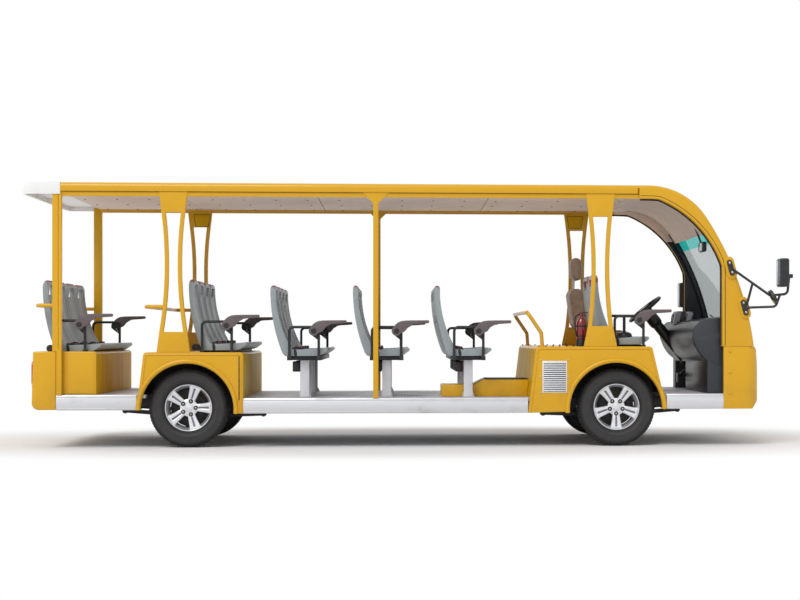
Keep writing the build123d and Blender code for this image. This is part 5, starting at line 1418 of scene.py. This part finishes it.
class BUS_OT_add_dash_fittings(bpy.types.Operator):
    """Add the dashboard's displays, switches, binnacle, fascia and cheeks, the steering shaft and the
    column's cowl
    """

    bl_idname = "bus.add_dash_fittings"
    bl_label = "Dash fittings"

    def execute(self, context):
        low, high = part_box("dashboard")
        boxes, faces = [], []
        for y, x in ((0.30, AXLE_X + 0.735), (0.14, AXLE_X + 0.815)):
            case = block("case", (-0.022, -0.062, 0.0), (0.022, 0.062, 0.125), 0.008, 3)
            place = turned((x, y, high.z - 0.075), radians(14), "Y")
            boxes.append(repeated(case, "case", [place]))
            face = block("face", (-0.0245, -0.050, 0.018), (-0.0215, 0.050, 0.112), 0.002)
            faces.append(repeated(face, "face", [place]))
        joined("control_boxes", boxes, "switch_grey")
        joined("control_faces", faces, "black_plastic")
        self.binnacle(high)
        self.switches(high)
        self.panels(low, high)
        self.shaft()
        return {"FINISHED"}

    def panels(self, low, high):
        """Glossy fascia and kick plate, and the dark cheeks at the dash's ends."""
        kick, bulge, belly, brow, crest = [(AXLE_X + x, DECK_TOP + z) for x, z in (
            (0.815, 0.294), (0.727, 0.390), (0.687, 0.500), (0.694, 0.584), (0.754, 0.644))]
        line = [*arc(kick, bulge, belly, 12), brow, crest]
        fascia = wire("dash_fascia", [(x - 0.002, high.y * 0.975, z - 0.001) for x, z in line])
        with shaping(fascia, "EDGE"):
            bpy.ops.mesh.select_all(action="SELECT")
            pull((0, -high.y * 1.95, 0))
        apply(fascia, "SOLIDIFY", thickness=0.004, offset=0)
        done(fascia, "body", "dash_gloss", 50)
        kick_plate = block("kick_plate", (kick[0] - 0.004, low.y + 0.02, low.z + 0.004),
                           (kick[0] + 0.002, 0.172, kick[1] - 0.012))
        done(kick_plate, "body", "dash_gloss")
        foot = (AXLE_X + 0.926, DECK_TOP + 0.250)
        edge = [*arc(foot, (AXLE_X + 0.748, DECK_TOP + 0.372), (belly[0] - 0.006, belly[1]), 16)]
        edge += [(brow[0] - 0.006, brow[1] + 0.004), (crest[0] - 0.004, crest[1] + 0.006)]
        edge.append((foot[0], crest[1] + 0.032))
        cheeks = [plate("cheek", [(x, side * high.y, z) for x, z in edge], (0, side * 0.005, 0), 0.002)
                  for side in SIDES.values()]
        joined("dash_cheeks", cheeks, "dark_trim")

    def shaft(self):
        """Steering shaft with its joint, the pedals' links and the column's shroud."""
        joint = joints["steering_wheel_turn"]
        y = joint["pos_m"][1]
        bars = (  # name, offset across the bus, points ahead of the axle and above the road, radius
            ("shaft", 0.0, ((0.735, 0.850), (0.840, 0.725), (0.940, 0.560)), 0.013),
            ("link", -0.11, ((0.775, 0.600), (0.860, 0.690), (0.975, 0.715)), 0.009),
            ("link", 0.02, ((0.775, 0.590), (0.870, 0.660), (0.975, 0.690)), 0.009),
        )
        pieces = [tube(name, [(AXLE_X + x, y + offset, z) for x, z in line], radius)
                  for name, offset, line, radius in bars]
        pieces.append(block("joint", (AXLE_X + 0.812, y - 0.022, 0.715),
                            (AXLE_X + 0.862, y + 0.022, 0.762), 0.010))
        joined("steering_shaft", pieces, "black_steel")
        along = Vector(joint["axis"]).normalized()
        if along.z > 0:
            along = -along
        shroud = lathe("column_shroud", [
            (0.030, 0.030), (0.052, 0.034), (0.060, 0.050), (0.064, 0.150), (0.060, 0.185), (0.050, 0.200),
            (0.030, 0.200),
        ], 24)
        set_out(shroud, "column_shroud", [facing(Vector(joint["pos_m"]), along)], "black_plastic")

    def binnacle(self, high):
        """Hooded dial pod ahead of the steering wheel."""
        y = joints["steering_wheel_turn"]["pos_m"][1]
        x = AXLE_X + 0.735
        hood = plate("binnacle", [(x, y - 0.16, high.z - 0.10), (x + 0.02, y - 0.15, high.z + 0.035),
                                  (x + 0.02, y - 0.10, high.z + 0.060), (x + 0.02, y + 0.10, high.z + 0.060),
                                  (x + 0.02, y + 0.15, high.z + 0.035), (x, y + 0.16, high.z - 0.10)],
                     (0.16, 0, 0.0), 0.016)
        done(hood, "body", "dark_trim")
        ring = [(0.0, 0.004), (0.040, 0.004), (0.042, 0.009), (0.048, 0.009), (0.050, 0.0)]
        dials = []
        for offset in (-0.07, 0.07):
            dial = lathe("dial", ring, 32)
            place = turned((x + 0.012, y + offset, high.z - 0.012), radians(-82), "Y")
            dials.append(repeated(dial, "dial", [place]))
        joined("dials", dials, "black_plastic")

    def switches(self, high):
        """A row of rocker switches on the dash's upper face."""
        rocker = block("rocker", (-0.012, -0.009, -0.004), (0.012, 0.009, 0.008), 0.003)
        spots = [turned((AXLE_X + 0.800, 0.02 - 0.028 * i, high.z - 0.038), radians(-24), "Y")
                 for i in range(5)]
        set_out(rocker, "rocker_switches", spots, "black_plastic")
        lamp = block("lamp", (-0.008, -0.012, 0), (0.008, 0.012, 0.010), 0.003)
        warm = moves([(AXLE_X + 0.745, 0.22, high.z - 0.052), (AXLE_X + 0.690, 0.10, high.z - 0.190)])
        set_out(lamp, "warning_switches", warm, "red_paint")


# Small fittings

def dome(name, radius, rise):
    """A domed fastener head standing on Z."""
    head = begin(name, bpy.ops.mesh.primitive_cylinder_add, vertices=10, radius=radius, depth=rise,
                 location=(0, 0, rise / 2))
    with shaping(head):
        pick(head, lambda p, n: n.z > 0.9)
        bpy.ops.mesh.inset(thickness=radius * 0.35, depth=rise * 0.4)
        bpy.ops.mesh.inset(thickness=radius * 0.30, depth=rise * 0.15)
    return head


def facing(point, way):
    """Matrix that stands a fastener on a face: its Z along a direction."""
    return Matrix.Translation(point) @ Vector((0, 0, 1)).rotation_difference(Vector(way)).to_matrix().to_4x4()


class BUS_OT_add_fasteners(bpy.types.Operator):
    """Add the bolts and screws of the cowl, vents, seat feet and ceiling"""

    bl_idname = "bus.add_fasteners"
    bl_label = "Fasteners"

    def execute(self, context):
        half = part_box("front_cowl")[1].y
        cowl = [facing((AXLE_X + 1.000, side * half, z), (0, side, 0)) for side in SIDES.values()
                for z in (0.846, 0.659, 0.473)]
        set_out(dome("cowl_bolt", 0.013, 0.007), "cowl_bolts", cowl, "body_paint")
        low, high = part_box("vent_grilles")
        vent = [facing((x, side * (BODY_HALF - 0.0005), z), (0, side, 0)) for side in SIDES.values()
                for x in (low.x - 0.014, high.x + 0.011)
                for z in (low.z - 0.003, (low.z + high.z) / 2, high.z + 0.008)]
        set_out(dome("vent_screw", 0.007, 0.004), "vent_screws", vent, "bright_steel")
        self.feet()
        self.ceiling()
        return {"FINISHED"}

    def feet(self):
        """Four bolts and two ribs on each seat foot."""
        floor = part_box("floor_cover")[0].z
        spots, ribs = [], []
        for row in ("3", "4", "5"):
            x = joints[f"guard_{row}_right_swing"]["pos_m"][0] - 0.086
            for y in (-0.75, -0.14, 0.14, 0.75):
                spots += [facing((x + dx, y + dy, floor + 0.010), (0, 0, 1))
                          for dx in (-0.049, 0.049) for dy in (-0.031, 0.031)]
                ribs += [turned((x, y, floor), turn, "Z") for turn in (0, pi)]
        set_out(dome("foot_bolt", 0.008, 0.007), "foot_bolts", spots, "bright_steel")
        outline = [(0.038, 0.009), (0.0555, 0.009), (0.0555, 0.013), (0.042, 0.042), (0.038, 0.042)]
        rib = plate("foot_rib", [(x, -0.019, z) for x, z in outline], (0, 0.038, 0), 0.002)
        set_out(rib, "foot_ribs", ribs, "silver_paint")

    def ceiling(self):
        """Screws along the edges and joints of the ceiling panels."""
        low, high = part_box("ceiling_panels")
        spots = []
        rows = (low.y + 0.03, low.y / 3, high.y / 3, high.y - 0.03)
        count = 18
        for i in range(count):
            x = low.x + 0.08 + (high.x - low.x - 0.16) * i / (count - 1)
            spots += [facing((x, y, low.z), (0, 0, -1)) for y in rows]
        set_out(dome("ceiling_screw", 0.009, 0.003), "ceiling_screws", spots, "black_steel")


class BUS_OT_add_lamps(bpy.types.Operator):
    """Add bright plates, bowls and bulbs to the lamps"""

    bl_idname = "bus.add_lamps"
    bl_label = "Lamps"

    def execute(self, context):
        low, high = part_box("front_lamps")
        z = (low.z + high.z) / 2
        bowl = lathe("bowl", [(0.0, 0.0015), (0.030, 0.003), (0.044, 0.007), (0.050, 0.011), (0.054, 0.010),
                              (0.054, 0.0005)], 28)
        bulb = lathe("bulb", [
            (0.0, 0.011), (0.007, 0.0095), (0.010, 0.006), (0.011, 0.001), (0.0, 0.001),
        ], 16)
        middle = high.y - 0.125
        back = high.x - 0.0135
        places = [facing((back, side * middle + offset, z), (1, 0, 0))
                  for side in SIDES.values() for offset in (-0.058, 0.058)]
        corners = ((0.084, 0.024), (-0.084, 0.024), (-0.084, -0.024), (0.084, -0.024))
        outline = []
        for quarter, (y, up) in enumerate(corners):
            for i in range(5):
                turn = pi / 2 * (quarter + i / 4)
                outline.append((back - 0.002, middle + y + 0.036 * cos(turn), z + up + 0.036 * sin(turn)))
        bright = plate("bright", outline, (0.0025, 0, 0), 0.0005)
        bowls = repeated(bowl, "bowls", places)
        brights = repeated(bright, "brights", moves([(0, 0, 0), (0, -2 * middle, 0)]))
        joined("lamp_bowls", [bowls, brights], "reflector")
        set_out(bulb, "lamp_bulbs", places, "lamp_lens")
        return {"FINISHED"}


class BUS_OT_add_mirror_faces(bpy.types.Operator):
    """Add the silvered faces of the mirrors"""

    bl_idname = "bus.add_mirror_faces"
    bl_label = "Mirror faces"

    def execute(self, context):
        faces = [
            block("face", (AXLE_X + 1.4095, -1.158, 1.430), (AXLE_X + 1.4130, -1.012, 1.648), 0.001),
            block("face", (AXLE_X + 0.9025, 1.034, 1.284), (AXLE_X + 0.9060, 1.156, 1.506), 0.001),
            block("face", (AXLE_X + 0.8385, -0.515, 1.766), (AXLE_X + 0.8420, -0.345, 1.834), 0.001),
        ]
        bulge = lathe("bulge", [(0.0, 0.010), (0.022, 0.0088), (0.042, 0.0050), (0.060, -0.001)], 36)
        place = facing((AXLE_X + 1.353, -1.085, COWL_TOP + 0.431), (-0.88, 0, -0.47))
        faces.append(repeated(bulge, "bulge", [place]))
        joined("mirror_faces", faces, "mirror_face")
        return {"FINISHED"}


class BUS_OT_add_extinguisher_fittings(bpy.types.Operator):
    """Add the extinguisher's levers, hose, foot and straps"""

    bl_idname = "bus.add_extinguisher_fittings"
    bl_label = "Extinguisher fittings"

    def execute(self, context):
        low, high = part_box("extinguisher")
        x, y = (low.x + high.x) / 2, (low.y + high.y) / 2
        top = high.z
        levers = [
            block("lever", (x - 0.016, y - 0.010, top - 0.004), (x + 0.060, y + 0.010, top + 0.006), 0.002),
            block("lever", (x - 0.016, y - 0.009, top - 0.030), (x + 0.052, y + 0.009, top - 0.022), 0.002),
        ]
        hose = tube("hose", [
            (x - 0.014, y, top - 0.012), (x - 0.050, y, top - 0.020), (x - 0.060, y - 0.01, top - 0.070),
            (x - 0.054, y - 0.02, top - 0.140), (x - 0.048, y - 0.02, top - 0.205),
        ], 0.007)
        band = ((0.0440, 0.0), (0.0462, 0.0), (0.0462, 0.014), (0.0440, 0.014), (0.0440, 0.0))
        straps = [lathe("strap", [(radius, z + up) for radius, up in band], 32) for z in (0.085, 0.175)]
        foot = lathe("foot", [(0.0, 0.0), (0.047, 0.0), (0.047, 0.050), (0.0445, 0.066), (0.040, 0.066)], 32)
        set_out(foot, "extinguisher_foot", [Matrix.Translation((x, y, low.z))], "black_plastic")
        rings = [repeated(strap, "strap", [Matrix.Translation((x, y, low.z))]) for strap in straps]
        joined("extinguisher_levers", levers, "black_plastic")
        done(hose, "body", "seal_rubber")
        joined("extinguisher_straps", rings, "black_steel")
        return {"FINISHED"}


# Body trim

def bead(name, points, radius):
    """A round line on a panel, through all of its points."""
    close = []
    for a, b in zip(points, points[1:]):
        close += [a, *[tuple(p + (q - p) * share for p, q in zip(a, b)) for share in (0.06, 0.94)]]
    return tube(name, [*close, points[-1]], radius)


def shifted(line, depth):
    """A line of (X, Z) points moved to its right-hand side by a depth."""
    line = [Vector(point) for point in line]
    moved = []
    for i, point in enumerate(line):
        way = (line[min(i + 1, len(line) - 1)] - line[max(i - 1, 0)]).normalized()
        moved.append(point + Vector((way.y, -way.x)) * depth)
    return moved


class BUS_OT_add_fender_trim(bpy.types.Operator):
    """Add the arch beads, the fenders' raised borders and the louvred vents"""

    bl_idname = "bus.add_fender_trim"
    bl_label = "Fender trim"

    def execute(self, context):
        lines = []
        for name, arch in ARCHES.items():
            for side in SIDES.values():
                lines.append(self.arch_bead(arch, side * (BODY_HALF - 0.003)))
                lines.append(self.border(name, arch, side * (BODY_HALF + 0.001)))
        joined("fender_beads", lines, "body_paint")
        self.grooves()
        self.vents()
        return {"FINISHED"}

    def arch_bead(self, arch, y):
        """Half-round bead along an arch."""
        axle = Vector(joints[arch["axle"]]["pos_m"])
        x, z = axle.x - arch["back"], axle.z - arch["drop"]
        radius = arch["radius"] + 0.021
        first = pi + (z - arch["lows"][0]) / radius
        last = -(z - arch["lows"][1]) / radius
        turns = [first + (last - first) * i / 40 for i in range(41)]
        line = [(x + radius * cos(turn), y, z + radius * sin(turn)) for turn in turns]
        return tube("arch_bead", line, 0.020, resolution=3)

    def border(self, name, arch, y):
        """Thin raised line inside the fender's outline."""
        low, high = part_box(name)
        inset = 0.020
        behind, ahead = arch["leans"]
        points = [
            (low.x + inset, arch["lows"][0] + 0.004), (low.x + behind + inset, high.z - inset),
            (high.x - ahead - inset, high.z - inset), (high.x - inset, arch["lows"][1] + 0.004),
        ]
        return bead("border", [(x, y, z) for x, z in points], 0.0055)

    def grooves(self):
        """Upright channel near the rear fender's front edge, drawn as a dark strip of painted shade, with a
        bead along it.
        """
        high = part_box("rear_wheel_box")[1]
        foot, top = FLOOR_TOP - 0.017, high.z - 0.034
        channels, beads = [], []
        # a dark strip in the groove's brown paint stands for the channel's shade
        for side in SIDES.values():
            channels.append(side_block("channel", side, (high.x - 0.040, BODY_HALF - 0.010, foot),
                                       (high.x - 0.025, BODY_HALF + 0.0015, top), 0.001))
            for back in (0.044, 0.022):
                line = [(high.x - back, side * (BODY_HALF - 0.001), z) for z in (foot - 0.006, top + 0.006)]
                beads.append(bead("edge", line, 0.0050))
        joined("fender_channels", channels, "groove_paint")
        joined("fender_channel_edges", beads, "body_paint")

    def vents(self):
        """Pressed aluminium vents with a row of louvres, and a dark plate behind them as painted shade in the
        gaps.
        """
        low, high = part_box("vent_grilles")
        face = BODY_HALF + 0.004
        count = 14
        border = 0.009
        pitch = (high.z - low.z - 2 * border) / count
        base = block("vent", (low.x, -face, low.z), (high.x, 0.001 - BODY_HALF, high.z), 0.003)
        profile = [(-face + 0.001, 0.30), (-face - 0.009, 0.34), (-face - 0.011, 0.42), (-face + 0.001, 0.98)]
        points = [(low.x + border, y, low.z + border + share * pitch) for y, share in profile]
        louvre = plate("louvre", points, (high.x - low.x - 2 * border, 0, 0), 0.0015)
        louvres = repeated(louvre, "louvres", moves([(0, 0, pitch * i) for i in range(count)]))
        vent = gather("vent", [base, louvres])
        flip = Matrix.Scale(-1, 4, (0, 1, 0))
        vents = set_out(vent, "vent_louvres", [Matrix(), flip], "vent_metal")
        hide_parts("vent_grilles")
        # dark plate behind the louvres: painted shade in the gaps between them
        slot = block("slot", (low.x + border, -face - 0.0006, low.z + border),
                     (high.x - border, 0.001 - face, high.z - border), 0.0002)
        set_out(slot, "vent_slots", [Matrix(), flip], "dark_trim")


class BUS_OT_add_sill_trim(bpy.types.Operator):
    """Add the ribs of the sills, the bench panels and the mat on the floor cover"""

    bl_idname = "bus.add_sill_trim"
    bl_label = "Sill trim"

    def execute(self, context):
        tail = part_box("tail_box")[1].x
        rear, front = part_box("rear_wheel_box"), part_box("front_wheel_box")
        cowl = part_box("front_cowl")[0].x
        ribs = []
        spans = (  # rear end, front end and top
            (tail, rear[0].x, DECK_TOP), (rear[1].x, front[0].x, FLOOR_TOP), (front[1].x, cowl, DECK_TOP),
        )
        for low, high, top in spans:
            for side in SIDES.values():
                for drop, tall in ((0.010, 0.010), (0.030, 0.004), (0.118, 0.006)):
                    ribs.append(side_block("rib", side, (low + 0.003, BODY_HALF - 0.018, top - drop - tall),
                                           (high - 0.003, BODY_HALF - 0.002, top - drop), 0.002))
        joined("sill_ribs", ribs, "sill_metal")
        low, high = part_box("bench_box")
        panels = [
            side_block("panel", side, (low.x + 0.09, high.y - 0.002, low.z + 0.012),
                       (high.x - 0.018, high.y + 0.004, high.z - 0.022), 0.003)
            for side in SIDES.values()
        ]
        joined("bench_panels", panels, "body_paint")
        low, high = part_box("floor_cover")
        mat = block("cover_mat", (high.x - 0.395, low.y - 0.004, high.z - 0.002),
                    (high.x - 0.012, high.y + 0.004, high.z + 0.006), 0.003)
        done(mat, "body", "seal_rubber")
        return {"FINISHED"}


class BUS_OT_add_nose_trim(bpy.types.Operator):
    """Add the door openings' lips and seals, the roof's gutters, and the mirror arm's bosses and bolts"""

    bl_idname = "bus.add_nose_trim"
    bl_label = "Nose trim"

    def execute(self, context):
        line = [(DOOR_FRONT, z) for z in (COWL_TOP + 0.01, 1.2, 1.45)]
        line += [*door_arc(18), (AXLE_X + 0.200, DOOR_HEAD)]
        lips, grooves, seals = [], [], []
        for side in SIDES.values():
            for pieces, depth, inset, radius in (
                (lips, 0.011, 0.003, 0.012), (grooves, 0.027, 0.001, 0.0026), (seals, -0.003, 0.050, 0.010),
            ):
                points = [(x, side * (ROOF_HALF - inset), z) for x, z in shifted(line, depth)]
                pieces.append(tube("line", points, radius))
        joined("door_lips", lips, "body_paint")
        joined("door_grooves", grooves, "seal_rubber")
        joined("door_seals", seals, "seal_rubber")
        self.gutters()
        self.bosses()
        return {"FINISHED"}

    def gutters(self):
        """Lip along the roof's lower sides, level with the door headers, and a brown line of painted shadow
        at the joint above it.
        """
        low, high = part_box("roof_panel")
        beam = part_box("roof_beams")[1].y
        joint = low.z - 0.002
        lips, lines = [], []
        for side in SIDES.values():
            lips.append(side_block("lip", side, (low.x + 0.002, beam - 0.004, ROOF_TOP - 0.121),
                                   (high.x, BODY_HALF - 0.009, joint), 0.004))
            # painted shadow line along the joint
            line = [(x, side * (BODY_HALF - 0.008), joint) for x in (low.x + 0.004, high.x - 0.002)]
            lines.append(bead("joint", line, 0.0034))
        joined("roof_gutters", lips, "body_paint")
        joined("roof_gutter_lines", lines, "groove_paint")

    def bosses(self):
        """Raised yellow seats under the mirror arm's plates, with two bolts through each plate."""
        bosses, bolts = [], []
        lean = radians(15)
        along = Vector((-sin(lean), 0, cos(lean)))
        for x, z in ((1.004, 0.698), (1.128, 0.343)):
            middle = Vector((AXLE_X + x, -ROOF_HALF, COWL_TOP + z))
            ring = []
            for end in (1, -1):
                for i in range(9):
                    turn = lean + radians(20 * i * 9 / 8) + (0 if end > 0 else pi)
                    ring.append(middle + along * 0.056 * end + Vector((cos(turn), 0, sin(turn))) * 0.046)
            bosses.append(plate("boss", ring, (0, -0.012, 0), 0.006))
            face = middle - Vector((0, 0.026, 0))
            bolts += [facing(face + along * 0.044 * end, (0, -1, 0)) for end in (1, -1)]
        joined("mirror_bosses", bosses, "body_paint")
        set_out(dome("mirror_bolt", 0.011, 0.008), "mirror_bolts", bolts, "bright_steel")


class BUS_OT_add_pillar_recesses(bpy.types.Operator):
    """Add the shallow panels inside the pillars' heads, painted darker as shade and edged with painted shadow
    lines, and the bolts along the front box
    """

    bl_idname = "bus.add_pillar_recesses"
    bl_label = "Pillar panels"

    def execute(self, context):
        low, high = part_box("arched_pillars")
        inner = BODY_HALF - 0.042
        panels, rims = [], []
        for middle in (low.x + 0.164, high.x - 0.164):
            for side in SIDES.values():
                outline = ((-0.062, 2.062), (0.062, 2.062), (0.080, 2.180), (-0.080, 2.180))
                points = [(middle + x, side * inner, z) for x, z in outline]
                panels.append(plate("panel", points, (0, -side * 0.003, 0), 0.001))
                line = [(x, y - side * 0.002, z) for x, y, z in points]
                rims.append(bead("rim", [*line, points[0]], 0.0035))
        # darker paint and dark rims: painted shade in the recesses
        joined("pillar_panels", panels, "panel_paint")
        joined("pillar_panel_rims", rims, "groove_paint")
        low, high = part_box("front_wheel_box")
        spots = [facing((low.x + 0.10 + 0.062 * i, side * (BODY_HALF - 0.060), high.z), (0, 0, 1))
                 for i in range(8) for side in SIDES.values()]
        set_out(dome("box_bolt", 0.009, 0.006), "box_bolts", spots, "black_steel")
        return {"FINISHED"}


class BUS_OT_add_guard_caps(bpy.types.Operator):
    """Add the guards' pads and hub caps, and the bolted plates under their hubs"""

    bl_idname = "bus.add_guard_caps"
    bl_label = "Guard caps"

    pad = (  # X and Z from the pivot
        (-0.022, 0.037), (-0.008, 0.056), (0.012, 0.073), (0.042, 0.087), (0.080, 0.092), (0.140, 0.0935),
        (0.284, 0.0945), (0.291, 0.084), (0.284, 0.068), (0.200, 0.062), (0.150, 0.060), (0.100, 0.060),
        (0.040, 0.060), (0.0, 0.030),
    )
    gusset = (  # X and Z from the pivot
        (-0.040, 0.002), (-0.037, -0.024), (0.032, -0.078), (0.044, -0.078), (0.044, 0.030), (-0.020, 0.036),
    )

    def execute(self, context):
        gussets, bolts = [], []
        cap = lathe("cap", [(0.0, 0.0035), (0.010, 0.0035), (0.011, 0.0055), (0.020, 0.0055), (0.024, 0.0035),
                            (0.025, -0.001)], 32)
        for name, joint in joints.items():
            if name.startswith("guard_"):
                node = name.replace("_swing", "")
                x, y, z = joint["pos_m"]
                side = 1 if y > 0 else -1
                face = max(abs(corner.y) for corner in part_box(node))
                place = facing((x, side * face, z), (0, side, 0))
                done(copied(cap, f"{node}_cap", place), node, "black_plastic")
                edge = side * (face + 0.0005)
                outline = [(x + dx, edge, z + dz) for dx, dz in self.pad]
                done(plate(f"{node}_pad", outline, (0, -side * 0.035, 0), 0.004), node, "guard_pad")
                bar = side * (BODY_HALF - 0.095)
                corners = [(x + dx, bar, z + dz) for dx, dz in self.gusset]
                gussets.append(plate("gusset", corners, (0, -side * 0.010, 0), 0.001))
                bolts += [facing((x + dx, bar - side * 0.010, z + dz), (0, -side, 0))
                          for dx, dz in ((0.012, -0.034), (0.024, -0.054))]
        joined("guard_gussets", gussets, "black_steel")
        set_out(dome("gusset_bolt", 0.007, 0.004), "gusset_bolts", bolts, "bright_steel")
        bpy.data.objects.remove(cap)
        return {"FINISHED"}


# Studio

class BUS_OT_set_stage(bpy.types.Operator):
    """Set the floor, the even light and the camera"""

    bl_idname = "bus.set_stage"
    bl_label = "Stage"

    def execute(self, context):
        stage = context.scene.bus_stage
        self.floor()
        self.light(stage)
        self.camera(stage)
        context.scene.view_settings.view_transform = "Standard"
        return {"FINISHED"}

    def floor(self):
        """A wide pale floor that keeps the shadow and turns white away from the bus."""
        floor = begin("stage_floor", bpy.ops.mesh.primitive_plane_add, size=160, location=(0, 0, -0.001))
        graph = Graph("stage_floor")
        tree = graph.tree
        away = graph.node("ShaderNodeVectorMath", {"operation": "LENGTH"}, {0: graph.node(
            "ShaderNodeMapping", {}, {"Vector": graph.place, "Scale": (0.2, 0.5, 1.0)})}, "Value")
        path = tree.nodes.new("ShaderNodeLightPath")
        seen = Value(graph, path.outputs["Is Camera Ray"])
        white = tree.nodes.new("ShaderNodeEmission")
        blend = tree.nodes.new("ShaderNodeMixShader")
        graph.feed(blend.inputs[0], graph.ramp(away, 0.75, 1.35) * seen)
        tree.links.new(graph.shader.outputs[0], blend.inputs[1])
        tree.links.new(white.outputs[0], blend.inputs[2])
        tree.links.new(blend.outputs[0], tree.nodes["Material Output"].inputs[0])
        graph.surface(Base_Color=linear("ececec"), Roughness=0.9, Specular_IOR_Level=0.1)
        floor.data.materials.append(graph.material)

    def light(self, stage):
        """Even fill from all round, seen as white, and one soft key from above the camera."""
        world = bpy.data.worlds.new("studio")
        bpy.context.scene.world = world
        world.use_nodes = True
        tree = world.node_tree
        fill = tree.nodes["Background"]
        fill.inputs["Color"].default_value = (1, 1, 1, 1)
        fill.inputs["Strength"].default_value = stage.sky
        white = tree.nodes.new("ShaderNodeBackground")
        white.inputs["Color"].default_value = (1, 1, 1, 1)
        path = tree.nodes.new("ShaderNodeLightPath")
        seen = path.outputs["Is Camera Ray"]
        for ray in ("Is Glossy Ray", "Is Transmission Ray"):
            either = tree.nodes.new("ShaderNodeMath")
            either.operation = "MAXIMUM"
            tree.links.new(seen, either.inputs[0])
            tree.links.new(path.outputs[ray], either.inputs[1])
            seen = either.outputs[0]
        blend = tree.nodes.new("ShaderNodeMixShader")
        for socket, source in enumerate((seen, fill.outputs[0], white.outputs[0])):
            tree.links.new(source, blend.inputs[socket])
        tree.links.new(blend.outputs[0], tree.nodes["World Output"].inputs[0])
        bpy.ops.object.select_all(action="DESELECT")
        bpy.ops.object.light_add(type="SUN", location=(-4, -8, 10))
        sun = bpy.context.object
        sun.name = "key_light"
        sun.data.energy = stage.sun
        sun.data.angle = radians(28)
        sun.rotation_euler = (radians(42), radians(-12), radians(-18))

    def camera(self, stage):
        """The camera at the photo's eye height, turned a little towards the front."""
        bpy.ops.object.select_all(action="DESELECT")
        bpy.ops.object.camera_add(location=stage.eye, rotation=(radians(90), 0, -stage.turn))
        camera = bpy.context.object
        camera.name = "camera"
        camera.data.sensor_width = 36
        camera.data.lens = stage.lens
        camera.data.shift_x, camera.data.shift_y = stage.shift
        bpy.context.scene.camera = camera


OPERATORS = (
    BUS_OT_dress_frame, BUS_OT_add_tyres, BUS_OT_add_rims, BUS_OT_add_seats, BUS_OT_add_belts,
    BUS_OT_add_driver_seat, BUS_OT_add_cab_trim, BUS_OT_add_dash_fittings, BUS_OT_add_fasteners,
    BUS_OT_add_lamps, BUS_OT_add_mirror_faces, BUS_OT_add_extinguisher_fittings, BUS_OT_add_fender_trim,
    BUS_OT_add_sill_trim, BUS_OT_add_nose_trim, BUS_OT_add_pillar_recesses, BUS_OT_add_guard_caps,
    BUS_OT_set_stage,
)
GROUPS = {"bus_colours": BusColours, "bus_wheels": BusWheels, "bus_seats": BusSeats, "bus_stage": BusStage}


class BUS_PT_pieces(bpy.types.Panel):
    """Lists the pieces of the bus."""

    bl_idname = "BUS_PT_pieces"
    bl_label = "Sightseeing bus"
    bl_space_type = "VIEW_3D"
    bl_region_type = "UI"
    bl_category = "Bus"

    def draw(self, context):
        for operator in OPERATORS:
            self.layout.operator(operator.bl_idname)


def register():
    for name, group in GROUPS.items():
        bpy.utils.register_class(group)
        setattr(bpy.types.Scene, name, PointerProperty(type=group))
    for operator in OPERATORS:
        bpy.utils.register_class(operator)
    bpy.utils.register_class(BUS_PT_pieces)


def unregister():
    bpy.utils.unregister_class(BUS_PT_pieces)
    for operator in reversed(OPERATORS):
        bpy.utils.unregister_class(operator)
    for name, group in GROUPS.items():
        delattr(bpy.types.Scene, name)
        bpy.utils.unregister_class(group)


def main():
    register()
    for operator in OPERATORS:
        family, name = operator.bl_idname.split(".")
        getattr(getattr(bpy.ops, family), name)()


if __name__ == "__main__":
    main()
